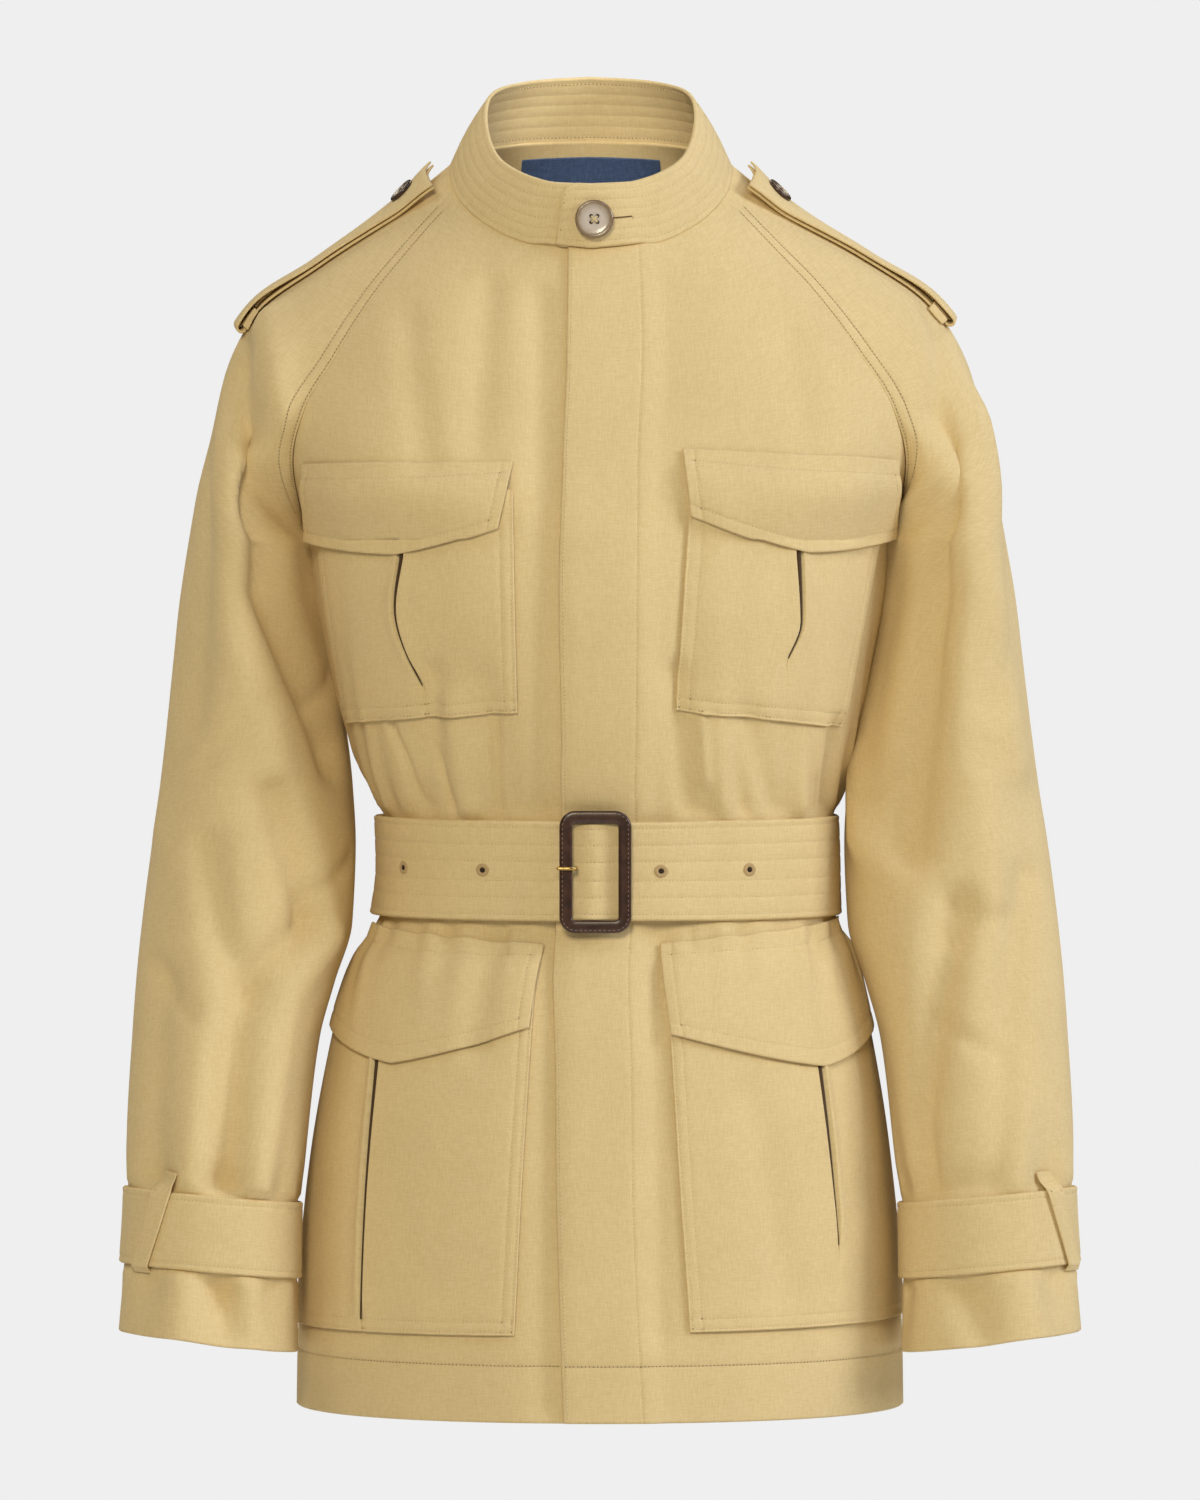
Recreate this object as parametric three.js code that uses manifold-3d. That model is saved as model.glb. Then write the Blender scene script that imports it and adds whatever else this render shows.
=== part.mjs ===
// A belted utility jacket with a stand collar, raglan sleeves, four flapped and pleated patch pockets,
// shoulder straps and cuff straps, filled out as if worn.
// Millimetres, +Z up, the front faces -Y and +X is the wearer's left.
// The origin is the middle of the neck base, level with the raglan seams' tops.
import * as THREE from 'three';
import * as BufferGeometryUtils from 'three/addons/utils/BufferGeometryUtils.js';
import Module from 'manifold-3d';

const wasm = await Module();
wasm.setup();

// Cloth thicknesses and the gaps between sewn pieces
const CLOTH = 1.6;             // one layer of the body cloth, with its seam allowance
const SEAM_GAP = 0.3;          // between the edges of two pieces sewn together
const EASE = 0.2;              // how far a wall lies inside its nominal surface
const STANDOFF = 0.8;          // between a panel's nominal surface and what is laid on it

// Main sizes
const FRONT_LENGTH = 650;      // from the neck seam at the centre front down to the hem
const NECK_Z = -30;            // height of that neck seam point, so height is NECK_Z - drop on the front
const ARMPIT_DROP = 160;       // where the sleeve tube parts from the body
const SLEEVE_DROP = 612;       // the cuff edge, counted like the front length
const SIDE_Y = 5;              // the side seams' place, front to back
const WAIST_TOP = 318.5;       // drops of the belt's two edges
const WAIST_BOTTOM = 373;

const degrees = THREE.MathUtils.degToRad;
const vec = (x, y, z) => new THREE.Vector3(x, y, z);
const clamp01 = (t) => Math.min(1, Math.max(0, t));
const smooth = (t) => clamp01(t) ** 2 * (3 - 2 * clamp01(t));
const mix = (a, b, t) => a + (b - a) * t;
const steps = (from, to, count) => Array.from({ length: count + 1 }, (_, i) => mix(from, to, i / count));

// A smooth curve through one named column of a table, against its key column, that never overshoots
function track(rows, key, name) {
  const x = rows.map((row) => row[key]);
  const y = rows.map((row) => row[name]);
  const last = x.length - 1;
  const secant = (i) => (y[i + 1] - y[i]) / (x[i + 1] - x[i]);
  const slope = x.map((_, i) => {
    if (i === 0) return secant(0);
    if (i === last) return secant(last - 1);
    const before = secant(i - 1);
    const after = secant(i);
    return before * after <= 0 ? 0 : (2 * before * after) / (before + after);
  });
  return (at) => {
    let i = 0;
    while (i < last - 1 && at > x[i + 1]) i += 1;
    const h = x[i + 1] - x[i];
    const t = clamp01((at - x[i]) / h);
    const t2 = t * t;
    const t3 = t2 * t;
    return y[i] * (2 * t3 - 3 * t2 + 1) + slope[i] * h * (t3 - 2 * t2 + t)
      + y[i + 1] * (3 * t2 - 2 * t3) + slope[i + 1] * h * (t3 - t2);
  };
}
const tracks = (rows, key) => Object.fromEntries(
  Object.keys(rows[0]).map((name) => [name, track(rows, key, name)]));

// The neck seam and the collar's top edge, by the turn from the centre front in degrees
const NECK = { half: 78, midY: -6, depth: 67 };
const COLLAR_TOP = { half: 58.5, midY: -13, depth: 59 };
const NECK_HEIGHTS = [
  { turn: 0, seam: -30, top: 6 }, { turn: 20, seam: -27, top: 7 }, { turn: 33, seam: -22.5, top: 10 },
  { turn: 47, seam: -15, top: 15 }, { turn: 60, seam: -6.5, top: 21 }, { turn: 72, seam: 2, top: 30 },
  { turn: 90, seam: 16, top: 47 }, { turn: 105, seam: 23.5, top: 57 }, { turn: 125, seam: 29, top: 63.5 },
  { turn: 155, seam: 33.5, top: 68 }, { turn: 180, seam: 34.5, top: 69.5 },
];
const neckHeight = tracks(NECK_HEIGHTS, 'turn');
const FRONT_TURN = 72;         // where the raglan seams meet the neck seam, front and back
const BACK_TURN = 115;

function ringPoint(ring, height, turn) {
  const a = degrees(turn);
  return vec(ring.half * Math.sin(a), ring.midY - ring.depth * Math.cos(a), height(Math.abs(turn)));
}
const neckPoint = (turn) => ringPoint(NECK, neckHeight.seam, turn);
const collarTopPoint = (turn) => ringPoint(COLLAR_TOP, neckHeight.top, turn);

// Above the armpit, one row for each level of the raglan yoke. seam is the front raglan seam, rear the
// back one, out the shoulder line; turn and reach set how a panel comes to its seam, armTurn and
// armReach how the sleeve leaves it, and outReach how full the sleeve is at the shoulder line.
const YOKE = [
  { drop: 0, frontY: -73, backY: 61, backZ: 34.5, seamX: 74.2, seamY: -26.7, seamZ: 2,
    rearX: 70.7, rearY: 22.3, rearZ: 26.5,
    turn: 69, reach: 30, armTurn: 69, armReach: 7, outX: 78, outY: -6, outZ: 15, outReach: 7 },
  { drop: 22, frontY: -80, backY: 71, backZ: 12, seamX: 100, seamY: -42, seamZ: -27, rearX: 96,
    rearY: 42, rearZ: 3,
    turn: 50, reach: 34, armTurn: 50, armReach: 18, outX: 119, outY: 1, outZ: -13, outReach: 20 },
  { drop: 48, frontY: -88, backY: 83, backZ: -18, seamX: 121, seamY: -54, seamZ: -52, rearX: 118,
    rearY: 57, rearZ: -35,
    turn: 38, reach: 42, armTurn: 38, armReach: 27, outX: 153, outY: 4, outZ: -36, outReach: 33 },
  { drop: 82, frontY: -99, backY: 96, backZ: -65, seamX: 146, seamY: -64, seamZ: -89, rearX: 142,
    rearY: 71, rearZ: -75,
    turn: 34, reach: 50, armTurn: 24, armReach: 33, outX: 189, outY: 6, outZ: -62, outReach: 46 },
  { drop: 113, frontY: -109, backY: 103, backZ: -114, seamX: 165, seamY: -65, seamZ: -121,
    rearX: 160, rearY: 74, rearZ: -115,
    turn: 42, reach: 54, armTurn: 4, armReach: 34, outX: 209, outY: 6, outZ: -95, outReach: 54 },
  { drop: 137, frontY: -115, backY: 106, backZ: -152, seamX: 171.5, seamY: -50, seamZ: -150,
    rearX: 168, rearY: 58, rearZ: -149,
    turn: 64, reach: 64, armTurn: -45, armReach: 56, outX: 219.5, outY: 5, outZ: -139, outReach: 74 },
];
// Below it, the body's half rings, by level
const TORSO = [
  { drop: 160, frontY: -119, half: 166, backY: 106 }, { drop: 196, frontY: -121, half: 161, backY: 104 },
  { drop: 230, frontY: -118, half: 154, backY: 100 }, { drop: 264, frontY: -112, half: 146.5, backY: 96 },
  { drop: 290, frontY: -105, half: 138.5, backY: 92 }, { drop: 306, frontY: -99.5, half: 132, backY: 89 },
  { drop: 319, frontY: -95.5, half: 127, backY: 87 }, { drop: 345, frontY: -94.5, half: 127, backY: 87 },
  { drop: 373, frontY: -96, half: 129, backY: 89 }, { drop: 388, frontY: -100, half: 134, backY: 93 },
  { drop: 408, frontY: -106.5, half: 142, backY: 99 }, { drop: 439, frontY: -114, half: 151, backY: 107 },
  { drop: 507, frontY: -123, half: 163.5, backY: 116 }, { drop: 570, frontY: -127, half: 169.5,
    backY: 120 },
  { drop: 620, frontY: -129, half: 171.5, backY: 122 }, { drop: 650, frontY: -130, half: 172, backY: 123 },
];
// and the sleeve's rings: inner and outer edge as seen from the front, and half depths
const ARM = [
  { drop: 160, innerX: 166, innerY: 5, outerX: 229, innerZ: -190, outerZ: -190, midY: 5,
    front: 76, back: 76 },
  { drop: 196, innerX: 160, innerY: 40, outerX: 235, innerZ: -226, outerZ: -226, midY: 3,
    front: 70, back: 70 },
  { drop: 230, innerX: 152, innerY: 48, outerX: 239, innerZ: -260, outerZ: -260, midY: 1,
    front: 66, back: 66 },
  { drop: 264, innerX: 145, innerY: 44, outerX: 243, innerZ: -294, outerZ: -294, midY: -1,
    front: 64, back: 62 },
  { drop: 303, innerX: 140, innerY: 27, outerX: 248, innerZ: -333, outerZ: -332, midY: -3,
    front: 60, back: 58 },
  { drop: 335, innerX: 138, innerY: 8, outerX: 253, innerZ: -366, outerZ: -364, midY: -7,
    front: 59, back: 57 },
  { drop: 376, innerX: 139.5, innerY: -12, outerX: 258, innerZ: -408, outerZ: -404, midY: -14,
    front: 58, back: 56 },
  { drop: 408, innerX: 149.2, innerY: -22, outerX: 261, innerZ: -441, outerZ: -435, midY: -22,
    front: 57, back: 55 },
  { drop: 439, innerX: 157.5, innerY: -30, outerX: 263, innerZ: -472, outerZ: -465, midY: -30,
    front: 56, back: 54 },
  { drop: 507, innerX: 166, innerY: -44, outerX: 266, innerZ: -541, outerZ: -532, midY: -44,
    front: 54, back: 51 },
  { drop: 531, innerX: 169.5, innerY: -47, outerX: 265, innerZ: -564, outerZ: -555, midY: -47,
    front: 50, back: 47 },
  { drop: 573, innerX: 170, innerY: -51, outerX: 267, innerZ: -605, outerZ: -596, midY: -51,
    front: 49, back: 46 },
  { drop: 612, innerX: 169, innerY: -56, outerX: 270, innerZ: -646, outerZ: -634, midY: -56,
    front: 52, back: 48 },
];
const BODY_SPREAD = 0.6;       // fullness of a body ring at its middle, as a share of its half width
const BODY_ROUND = 0.6;        // and at its side
const ARM_ROUND = 4 / 3;       // handle length that gives a half ellipse of a given depth
const FOREARM_LEAN = 2.5;       // degrees that the forearm leans forward

// Every column above the armpit ends at the first row below it, where both halves of a seam meet
function splitTracks(above, below) {
  const upper = tracks([...above, below[0]], 'drop');
  const lower = tracks(below, 'drop');
  return (drop) => Object.fromEntries(Object.keys(below[0])
    .map((name) => [name, (drop < ARMPIT_DROP ? upper : lower)[name](drop)]));
}
const bodyAt = splitTracks(
  YOKE.map(({ armTurn, armReach, outX, outY, outZ, outReach, ...row }) => ({ ...row,
    rearReach: row.reach })),
  TORSO.map(({ drop, frontY, half, backY }) => {
    const z = NECK_Z - drop;
    return {
      drop, frontY, backY, backZ: z, seamX: half, seamY: SIDE_Y, seamZ: z, rearX: half,
        rearY: SIDE_Y, rearZ: z,
      turn: 90, reach: BODY_ROUND * (SIDE_Y - frontY), rearReach: BODY_ROUND * (backY - SIDE_Y),
    };
  }));
const armAt = splitTracks(
  YOKE.map((row) => ({
    drop: row.drop, seamX: row.seamX, seamY: row.seamY, seamZ: row.seamZ, rearX: row.rearX,
      rearY: row.rearY, rearZ: row.rearZ,
    turn: row.armTurn, reach: row.armReach, rearReach: row.armReach, outX: row.outX,
      outY: row.outY, outZ: row.outZ,
    outFront: row.outReach, outBack: row.outReach,
  })),
  ARM.map((row) => {
    const shift = row.innerY - row.midY;
    return {
      drop: row.drop, seamX: row.innerX, seamY: row.innerY, seamZ: row.innerZ,
      rearX: row.innerX, rearY: row.innerY, rearZ: row.innerZ, turn: -90,
      reach: ARM_ROUND * (row.front + shift), rearReach: ARM_ROUND * (row.back - shift),
      outX: row.outerX, outY: row.midY, outZ: row.outerZ,
      outFront: ARM_ROUND * row.front, outBack: ARM_ROUND * row.back,
    };
  }));

// One row of a surface: a cubic curve that is read by the distance along it
const ROW_STEPS = 28;
function makeRow(a, b, c, d) {
  const curve = new THREE.CubicBezierCurve3(a, b, c, d);
  const points = curve.getPoints(ROW_STEPS);
  const along = [0];
  points.forEach((point, i) => {
    if (i > 0) along.push(along[i - 1] + point.distanceTo(points[i - 1]));
  });
  const length = along[ROW_STEPS];
  const at = (distance) => {
    const g = Math.min(Math.max(distance, 0), length);
    let i = 0;
    while (i < ROW_STEPS - 1 && g > along[i + 1]) i += 1;
    return curve.getPoint((i + (g - along[i]) / (along[i + 1] - along[i])) / ROW_STEPS);
  };
  return { length, at };
}
function cached(make) {
  const kept = new Map();
  return (drop) => {
    const key = drop.toFixed(3);
    if (!kept.has(key)) kept.set(key, make(drop));
    return kept.get(key);
  };
}
const frontRow = cached((drop) => {
  const r = bodyAt(drop);
  const a = degrees(r.turn);
  const z = NECK_Z - drop;
  return makeRow(vec(0, r.frontY, z), vec(BODY_SPREAD * r.seamX, r.frontY, z),
    vec(r.seamX - r.reach * Math.cos(a), r.seamY - r.reach * Math.sin(a), mix(r.seamZ, z, 0.3)),
    vec(r.seamX, r.seamY, r.seamZ));
});
const backRow = cached((drop) => {
  const r = bodyAt(drop);
  const a = degrees(r.turn);
  return makeRow(vec(0, r.backY, r.backZ), vec(BODY_SPREAD * r.rearX, r.backY, r.backZ),
    vec(r.rearX - r.rearReach * Math.cos(a), r.rearY + r.rearReach * Math.sin(a), mix(r.rearZ,
      r.backZ, 0.3)),
    vec(r.rearX, r.rearY, r.rearZ));
});
// A sleeve row runs from the front raglan or underarm seam to the shoulder line, and on to the back seam
function armHalf(drop, front) {
  const r = armAt(drop);
  const a = degrees(r.turn);
  const way = front ? 1 : -1;
  const rise = Math.tan(degrees(FOREARM_LEAN)) * smooth((drop - 330) / 150);
  const [x, y, z] = front ? [r.seamX, r.seamY, r.seamZ] : [r.rearX, r.rearY, r.rearZ];
  const reach = front ? r.reach : r.rearReach;
  const out = front ? r.outFront : r.outBack;
  const lift = (length) => way * rise * length;
  const slope = (r.outZ - z) * 0.4 * smooth(1 - drop / ARMPIT_DROP);
  return makeRow(vec(x, y, z), vec(x + reach * Math.cos(a), y + way * reach * Math.sin(a),
    z + lift(reach) + slope),
    vec(r.outX, r.outY - way * out, r.outZ + lift(out)), vec(r.outX, r.outY, r.outZ));
}
const sleeveFrontRow = cached((drop) => armHalf(drop, true));
const sleeveBackRow = cached((drop) => armHalf(drop, false));

// Near the neck every surface is drawn onto the neck seam's own curve
const NECK_FADE = 55;
function toNeck(point, row, share, turn, drop) {
  const fade = clamp01(1 - drop / NECK_FADE) ** 2;
  if (fade === 0) return point;
  const bare = row(0).at(share * row(0).length);
  return point.add(neckPoint(turn).sub(bare).multiplyScalar(fade));
}
// Bare surfaces on the wearer's left, +X. girth is in millimetres from the centre line.
function bareFront(girth, drop) {
  const row = frontRow(drop);
  const share = Math.abs(girth) / row.length;
  const point = toNeck(row.at(Math.abs(girth)), frontRow, share, FRONT_TURN * share, drop);
  return girth < 0 ? point.setX(-point.x) : point;
}
function bareBack(girth, drop) {
  const row = backRow(drop);
  const share = Math.abs(girth) / row.length;
  const point = toNeck(row.at(Math.abs(girth)), backRow, share, 180 - (180 - BACK_TURN) * share, drop);
  return girth < 0 ? point.setX(-point.x) : point;
}
// share is 0 at the seam and 1 at the shoulder line
function bareSleeveFront(share, drop) {
  const row = sleeveFrontRow(drop);
  return toNeck(row.at(share * row.length), sleeveFrontRow, share, mix(FRONT_TURN, 90, share), drop);
}
function bareSleeveBack(share, drop) {
  const row = sleeveBackRow(drop);
  return toNeck(row.at(share * row.length), sleeveBackRow, share, mix(BACK_TURN, 90, share), drop);
}

// Main folds of the sleeves. Each is a soft ridge (depth over 0) or trough along a line through places,
// a place being a share of the way from the seam to the shoulder line, and a drop.
const SLEEVE_FRONT_FOLDS = [
  { side: -1, line: [[0.6, 112], [0.42, 140], [0.58, 190], [0.57, 250]], width: 16, depth: -6 },
  { side: -1, line: [[0.12, 140], [0.18, 184], [0.2, 242], [0.14, 285]], width: 18, depth: -8 },
  { side: -1, line: [[0.42, 215], [0.46, 290]], width: 16, depth: 4 },
  { side: -1, line: [[0.45, 315], [0.32, 356], [0.39, 418], [0.47, 505]], width: 16, depth: -5 },
  { side: 1, line: [[0.34, 140], [0.5, 176], [0.52, 236], [0.46, 290], [0.38, 330]], width: 17, depth: -8 },
  { side: 1, line: [[0.78, 180], [0.68, 220], [0.62, 364]], width: 18, depth: 4 },
  { side: 1, line: [[0.5, 372], [0.36, 430], [0.24, 480]], width: 16, depth: -5 },
];
const SLEEVE_BACK_FOLDS = [
  { side: 1, line: [[0.5, 110], [0.32, 170], [0.24, 260]], width: 17, depth: -6 },
  { side: 1, line: [[0.3, 275], [0.42, 360], [0.55, 440]], width: 18, depth: -5 },
  { side: -1, line: [[0.58, 114], [0.4, 160], [0.3, 280]], width: 17, depth: -6 },
  { side: -1, line: [[0.24, 300], [0.36, 370], [0.5, 460]], width: 18, depth: -5 },
];
function foldLift(folds, side, share, drop, length) {
  let sum = 0;
  folds.filter((fold) => fold.side === side).forEach(({ line, width, depth }) => {
    let nearest = Infinity;
    for (let i = 1; i < line.length; i += 1) {
      const dx = (line[i][0] - line[i - 1][0]) * length;
      const dz = line[i][1] - line[i - 1][1];
      const px = (share - line[i - 1][0]) * length;
      const pz = drop - line[i - 1][1];
      const t = clamp01((px * dx + pz * dz) / (dx * dx + dz * dz));
      nearest = Math.min(nearest, Math.hypot(px - t * dx, pz - t * dz));
    }
    sum += depth * Math.exp(-((nearest / width) ** 2));
  });
  return sum;
}
const STRAP_TOP = 531;         // drops of the cuff strap's two edges
const STRAP_BOTTOM = 573;
const EDGE_CALM = 9;           // folds die out this near to a seam, so that the edges still meet
const calm = (distance) => smooth(distance / EDGE_CALM);

// The jacket leans a little to one side at the neck, and its waist to the other
const LEAN = [
  { z: -700, neck: 0, waist: 0 }, { z: -560, neck: 0, waist: 0 }, { z: -500, neck: 0, waist: 0.6 },
  { z: -440, neck: 0, waist: 1.6 }, { z: -405, neck: 0, waist: 4.4 }, { z: -377, neck: 0, waist: 6 },
  { z: -347, neck: 0, waist: 5 }, { z: -320, neck: 0, waist: 2 }, { z: -290, neck: 0, waist: 1 },
  { z: -190, neck: 0, waist: 0 }, { z: -110, neck: -1.2, waist: 0 }, { z: -50, neck: -3.5, waist: 0 },
  { z: 0, neck: -5.2, waist: 0 }, { z: 80, neck: -5.2, waist: 0 },
];
const neckLean = track(LEAN, 'z', 'neck');
const waistLean = track(LEAN, 'z', 'waist');
const SHOULDER_RISE = 3.6;     // how much higher the left shoulder hangs than the right one
const hung = (x, p) => vec(x, p.y, p.z + SHOULDER_RISE * smooth((x - 90) / 70) * smooth((p.z + 175) / 105));
const placeArm = (side, p) => hung(side * p.x + neckLean(p.z), p);
const place = (side, p) => hung(side * p.x + neckLean(p.z) + waistLean(p.z), p);

// The closing: how far the left front laps past the centre line, and where its placket is stitched
const CLOSING = [
  { drop: 0, lap: 13, stitch: 26.9 }, { drop: 56, lap: 16, stitch: 25.5 }, { drop: 120,
    lap: 19.9, stitch: 21.4 },
  { drop: 193, lap: 22.4, stitch: 20.2 }, { drop: 266, lap: 22, stitch: 18.8 }, { drop: 344,
    lap: 28, stitch: 12.8 },
  { drop: 381, lap: 28.4, stitch: 12.9 }, { drop: 451, lap: 25.4, stitch: 16.2 }, { drop: 544,
    lap: 23.3, stitch: 18.6 },
  { drop: 650, lap: 19.7, stitch: 23.8 },
];
const closing = tracks(CLOSING, 'drop');

// The point at a lift off a bare surface, along its outward normal
const PROBE = 0.8;
function lifted(bare, a, b, stepA, outward, lift) {
  const du = bare(a + stepA, b).sub(bare(a - stepA, b));
  const low = Math.max(b - PROBE, 0);
  const dv = bare(a, b + PROBE).sub(bare(a, low));
  const normal = dv.cross(du).normalize().multiplyScalar(outward);
  return bare(a, b).addScaledVector(normal, lift);
}
function frontPoint(side, girth, drop, lift) {
  const length = frontRow(drop).length;
  const near = girth > length - PROBE ? length - PROBE : girth;
  const base = lifted(bareFront, near, drop, PROBE, 1, lift);
  return place(side, base.add(bareFront(girth, drop).sub(bareFront(near, drop))));
}
function backPoint(girth, drop, lift) {
  const side = girth < 0 ? -1 : 1;
  const length = backRow(drop).length;
  const near = Math.min(Math.abs(girth), length - PROBE);
  const base = lifted(bareBack, near, drop, PROBE, -1, lift);
  return place(side, base.add(bareBack(Math.abs(girth), drop).sub(bareBack(near, drop))));
}
const SHARE_PROBE = 0.006;
function sleevePoint(side, front, share, drop, lift) {
  const [bare, row, folds] = front
    ? [bareSleeveFront, sleeveFrontRow, SLEEVE_FRONT_FOLDS] : [bareSleeveBack, sleeveBackRow,
      SLEEVE_BACK_FOLDS];
  const length = row(drop).length;
  const near = Math.min(Math.max(share, SHARE_PROBE), 1 - SHARE_PROBE);
  const fold = foldLift(folds, side, share, drop, length);
  const base = lifted(bare, near, drop, SHARE_PROBE, front ? 1 : -1,
    lift + fold * calm(share * length) * calm((1 - share) * length) * calm(drop));
  return placeArm(side, base.add(bare(share, drop).sub(bare(near, drop))));
}
// The drop at which the front reaches a given height, at a given girth
function dropAtHeight(girth, z) {
  let low = 0;
  let high = FRONT_LENGTH;
  for (let i = 0; i < 24; i += 1) {
    const middle = (low + high) / 2;
    if (bareFront(Math.min(girth, frontRow(middle).length), middle).z > z) low = middle;
    else high = middle;
  }
  return (low + high) / 2;
}

// A closed wall from two equal grids of points; loop joins the last column to the first
function wall(outer, inner, loop = false) {
  const rows = outer.length;
  const columns = outer[0].length;
  const positions = [];
  [outer, inner].forEach((grid) => grid.forEach((line) => line.forEach((p) => positions.push(p.x,
    p.y, p.z))));
  const at = (layer, r, c) => layer * rows * columns + r * columns + (c % columns);
  const index = [];
  const quad = (a, b, c, d) => index.push(a, b, c, a, c, d);
  const spans = loop ? columns : columns - 1;
  for (let r = 0; r < rows - 1; r += 1) {
    for (let c = 0; c < spans; c += 1) {
      quad(at(0, r, c), at(0, r + 1, c), at(0, r + 1, c + 1), at(0, r, c + 1));
      quad(at(1, r, c), at(1, r, c + 1), at(1, r + 1, c + 1), at(1, r + 1, c));
    }
    if (!loop) {
      quad(at(0, r, 0), at(1, r, 0), at(1, r + 1, 0), at(0, r + 1, 0));
      quad(at(0, r, columns - 1), at(0, r + 1, columns - 1), at(1, r + 1, columns - 1), at(1, r,
        columns - 1));
    }
  }
  for (let c = 0; c < spans; c += 1) {
    quad(at(0, 0, c), at(0, 0, c + 1), at(1, 0, c + 1), at(1, 0, c));
    quad(at(0, rows - 1, c), at(1, rows - 1, c), at(1, rows - 1, c + 1), at(0, rows - 1, c + 1));
  }
  const geometry = new THREE.BufferGeometry();
  geometry.setAttribute('position', new THREE.Float32BufferAttribute(positions, 3));
  geometry.setIndex(signedVolume(positions, index) < 0 ? index.reverse() : index);
  geometry.computeVertexNormals();
  return geometry;
}
function signedVolume(positions, index) {
  const point = (i) => vec(positions[3 * i], positions[3 * i + 1], positions[3 * i + 2]);
  let sum = 0;
  for (let i = 0; i < index.length; i += 3) {
    sum += point(index[i]).dot(point(index[i + 1]).cross(point(index[i + 2])));
  }
  return sum / 6;
}
// A wall whose points come from one function of row, column and lift
function shell(rowValues, columnsOf, pointAt, outerLift, innerLift, loop = false) {
  const liftOf = (lift, ...place3) => (typeof lift === 'function' ? lift(...place3) : lift);
  const grid = (lift) => rowValues.map((r) => columnsOf(r).map((c) => pointAt(r, c, liftOf(lift, r, c))));
  return wall(grid(outerLift), grid(innerLift), loop);
}

// Materials
const cloth = new THREE.MeshStandardMaterial({ color: '#cfb57f', roughness: 0.85, metalness: 0 });
const labelCloth = new THREE.MeshStandardMaterial({ color: '#33415c', roughness: 0.7, metalness: 0 });
const leather = new THREE.MeshStandardMaterial({ color: '#4b2b22', roughness: 0.4, metalness: 0 });
const brass = new THREE.MeshStandardMaterial({ color: '#b89a5a', roughness: 0.3, metalness: 1 });
const horn = new THREE.MeshStandardMaterial({ color: '#b7a594', roughness: 0.25, metalness: 0 });

const jacket = new THREE.Group();
function add(name, geometry, material = cloth) {
  const mesh = new THREE.Mesh(geometry, material);
  mesh.name = name;
  jacket.add(mesh);
  return mesh;
}
const sides = [{ side: 1, word: 'left' }, { side: -1, word: 'right' }];

// Body panels
const YOKE_DROPS = [SEAM_GAP, 14, 30, 48, 66, 84, 102, 119, 135, 149, 161];
const FRONT_DROPS = [...YOKE_DROPS, 180, 205, 232, 258, 282, 302, 318, 345, 373, 386, 400, 418,
  440, 475, 515, 560, 603,
  FRONT_LENGTH];
const BACK_DROPS = [...YOKE_DROPS, 190, 225, 260, 290, 318, 345, 373, 392, 416, 450, 495, 545,
  598, FRONT_LENGTH];
const PLACKET_RISE = 2.5;      // the lapping front rides this far over the one beneath
const placketLift = (girth, drop) => PLACKET_RISE * (1 - smooth((girth - closing.stitch(drop) - 1.5) / 14));

function frontPanel(side) {
  const columns = (drop) => {
    const end = frontRow(drop).length - SEAM_GAP / 2;
    const edge = closing.stitch(drop);
    const near = side === 1 ? [-closing.lap(drop), -6, edge - 9, edge, edge + 8,
      edge + 17] : [1.5 - edge, 0, 17, 34];
    return [...near, ...steps(near[near.length - 1], end, 9).slice(1)];
  };
  const rise = side === 1 ? placketLift : () => 0;
  return shell(FRONT_DROPS, columns, (drop, girth, lift) => frontPoint(side, girth, drop, lift),
    (drop, girth) => rise(girth, drop) - EASE, (drop, girth) => rise(girth, drop) - EASE - CLOTH);
}
add('front_left', frontPanel(1));
add('front_right', frontPanel(-1));
add('back', shell(BACK_DROPS, (drop) => {
  const end = backRow(drop).length - SEAM_GAP / 2;
  return steps(-end, end, 16);
}, (drop, girth, lift) => backPoint(girth, drop, lift), -EASE, -EASE - CLOTH));

// Sleeves, each cut in a front and a back that meet along the shoulder line and the underarm
const SLEEVE_DROPS = [...YOKE_DROPS, 175, 190, 225, 262, 300, 338, 376, 414, 450, 482, 507, 524,
  531, 573, 588,
  SLEEVE_DROP];
const SLEEVE_COLUMNS = 10;
function sleevePanel(side, front) {
  const row = front ? sleeveFrontRow : sleeveBackRow;
  const columns = (drop) => {
    const trim = 0.2 / row(drop).length;
    return steps(trim, 1 - trim, SLEEVE_COLUMNS);
  };
  return shell(SLEEVE_DROPS, columns, (drop, share, lift) => sleevePoint(side, front, share, drop, lift),
    -EASE, -EASE - CLOTH);
}
sides.forEach(({ side, word }) => {
  add(`sleeve_front_${word}`, sleevePanel(side, true));
  add(`sleeve_back_${word}`, sleevePanel(side, false));
});

// Stand collar: a stiff band whose left end laps over its right end, with one rounded corner
const COLLAR_THICK = 2.2;
const COLLAR_HEIGHT = 36;
const COLLAR_CORNER = 8;
const COLLAR_BULGE = 1.4;
const COLLAR_LAP_TURN = 14;    // degrees past the centre front, at the lapping end
function collarPoint(turn, height, lift) {
  const wrapped = ((turn + 540) % 360) - 180;
  const side = wrapped < 0 ? -1 : 1;
  const foot = neckPoint(Math.abs(wrapped));
  const head = collarTopPoint(Math.abs(wrapped));
  const a = degrees(Math.abs(wrapped));
  const round = vec(Math.sin(a) / NECK.half, -Math.cos(a) / NECK.depth, 0).normalize();
  const along = head.clone().sub(foot).normalize();
  const out = round.addScaledVector(along, -round.dot(along)).normalize();
  return place(side, foot.lerp(head, height).addScaledVector(out,
    lift + COLLAR_BULGE * Math.sin(Math.PI * height)));
}
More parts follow.
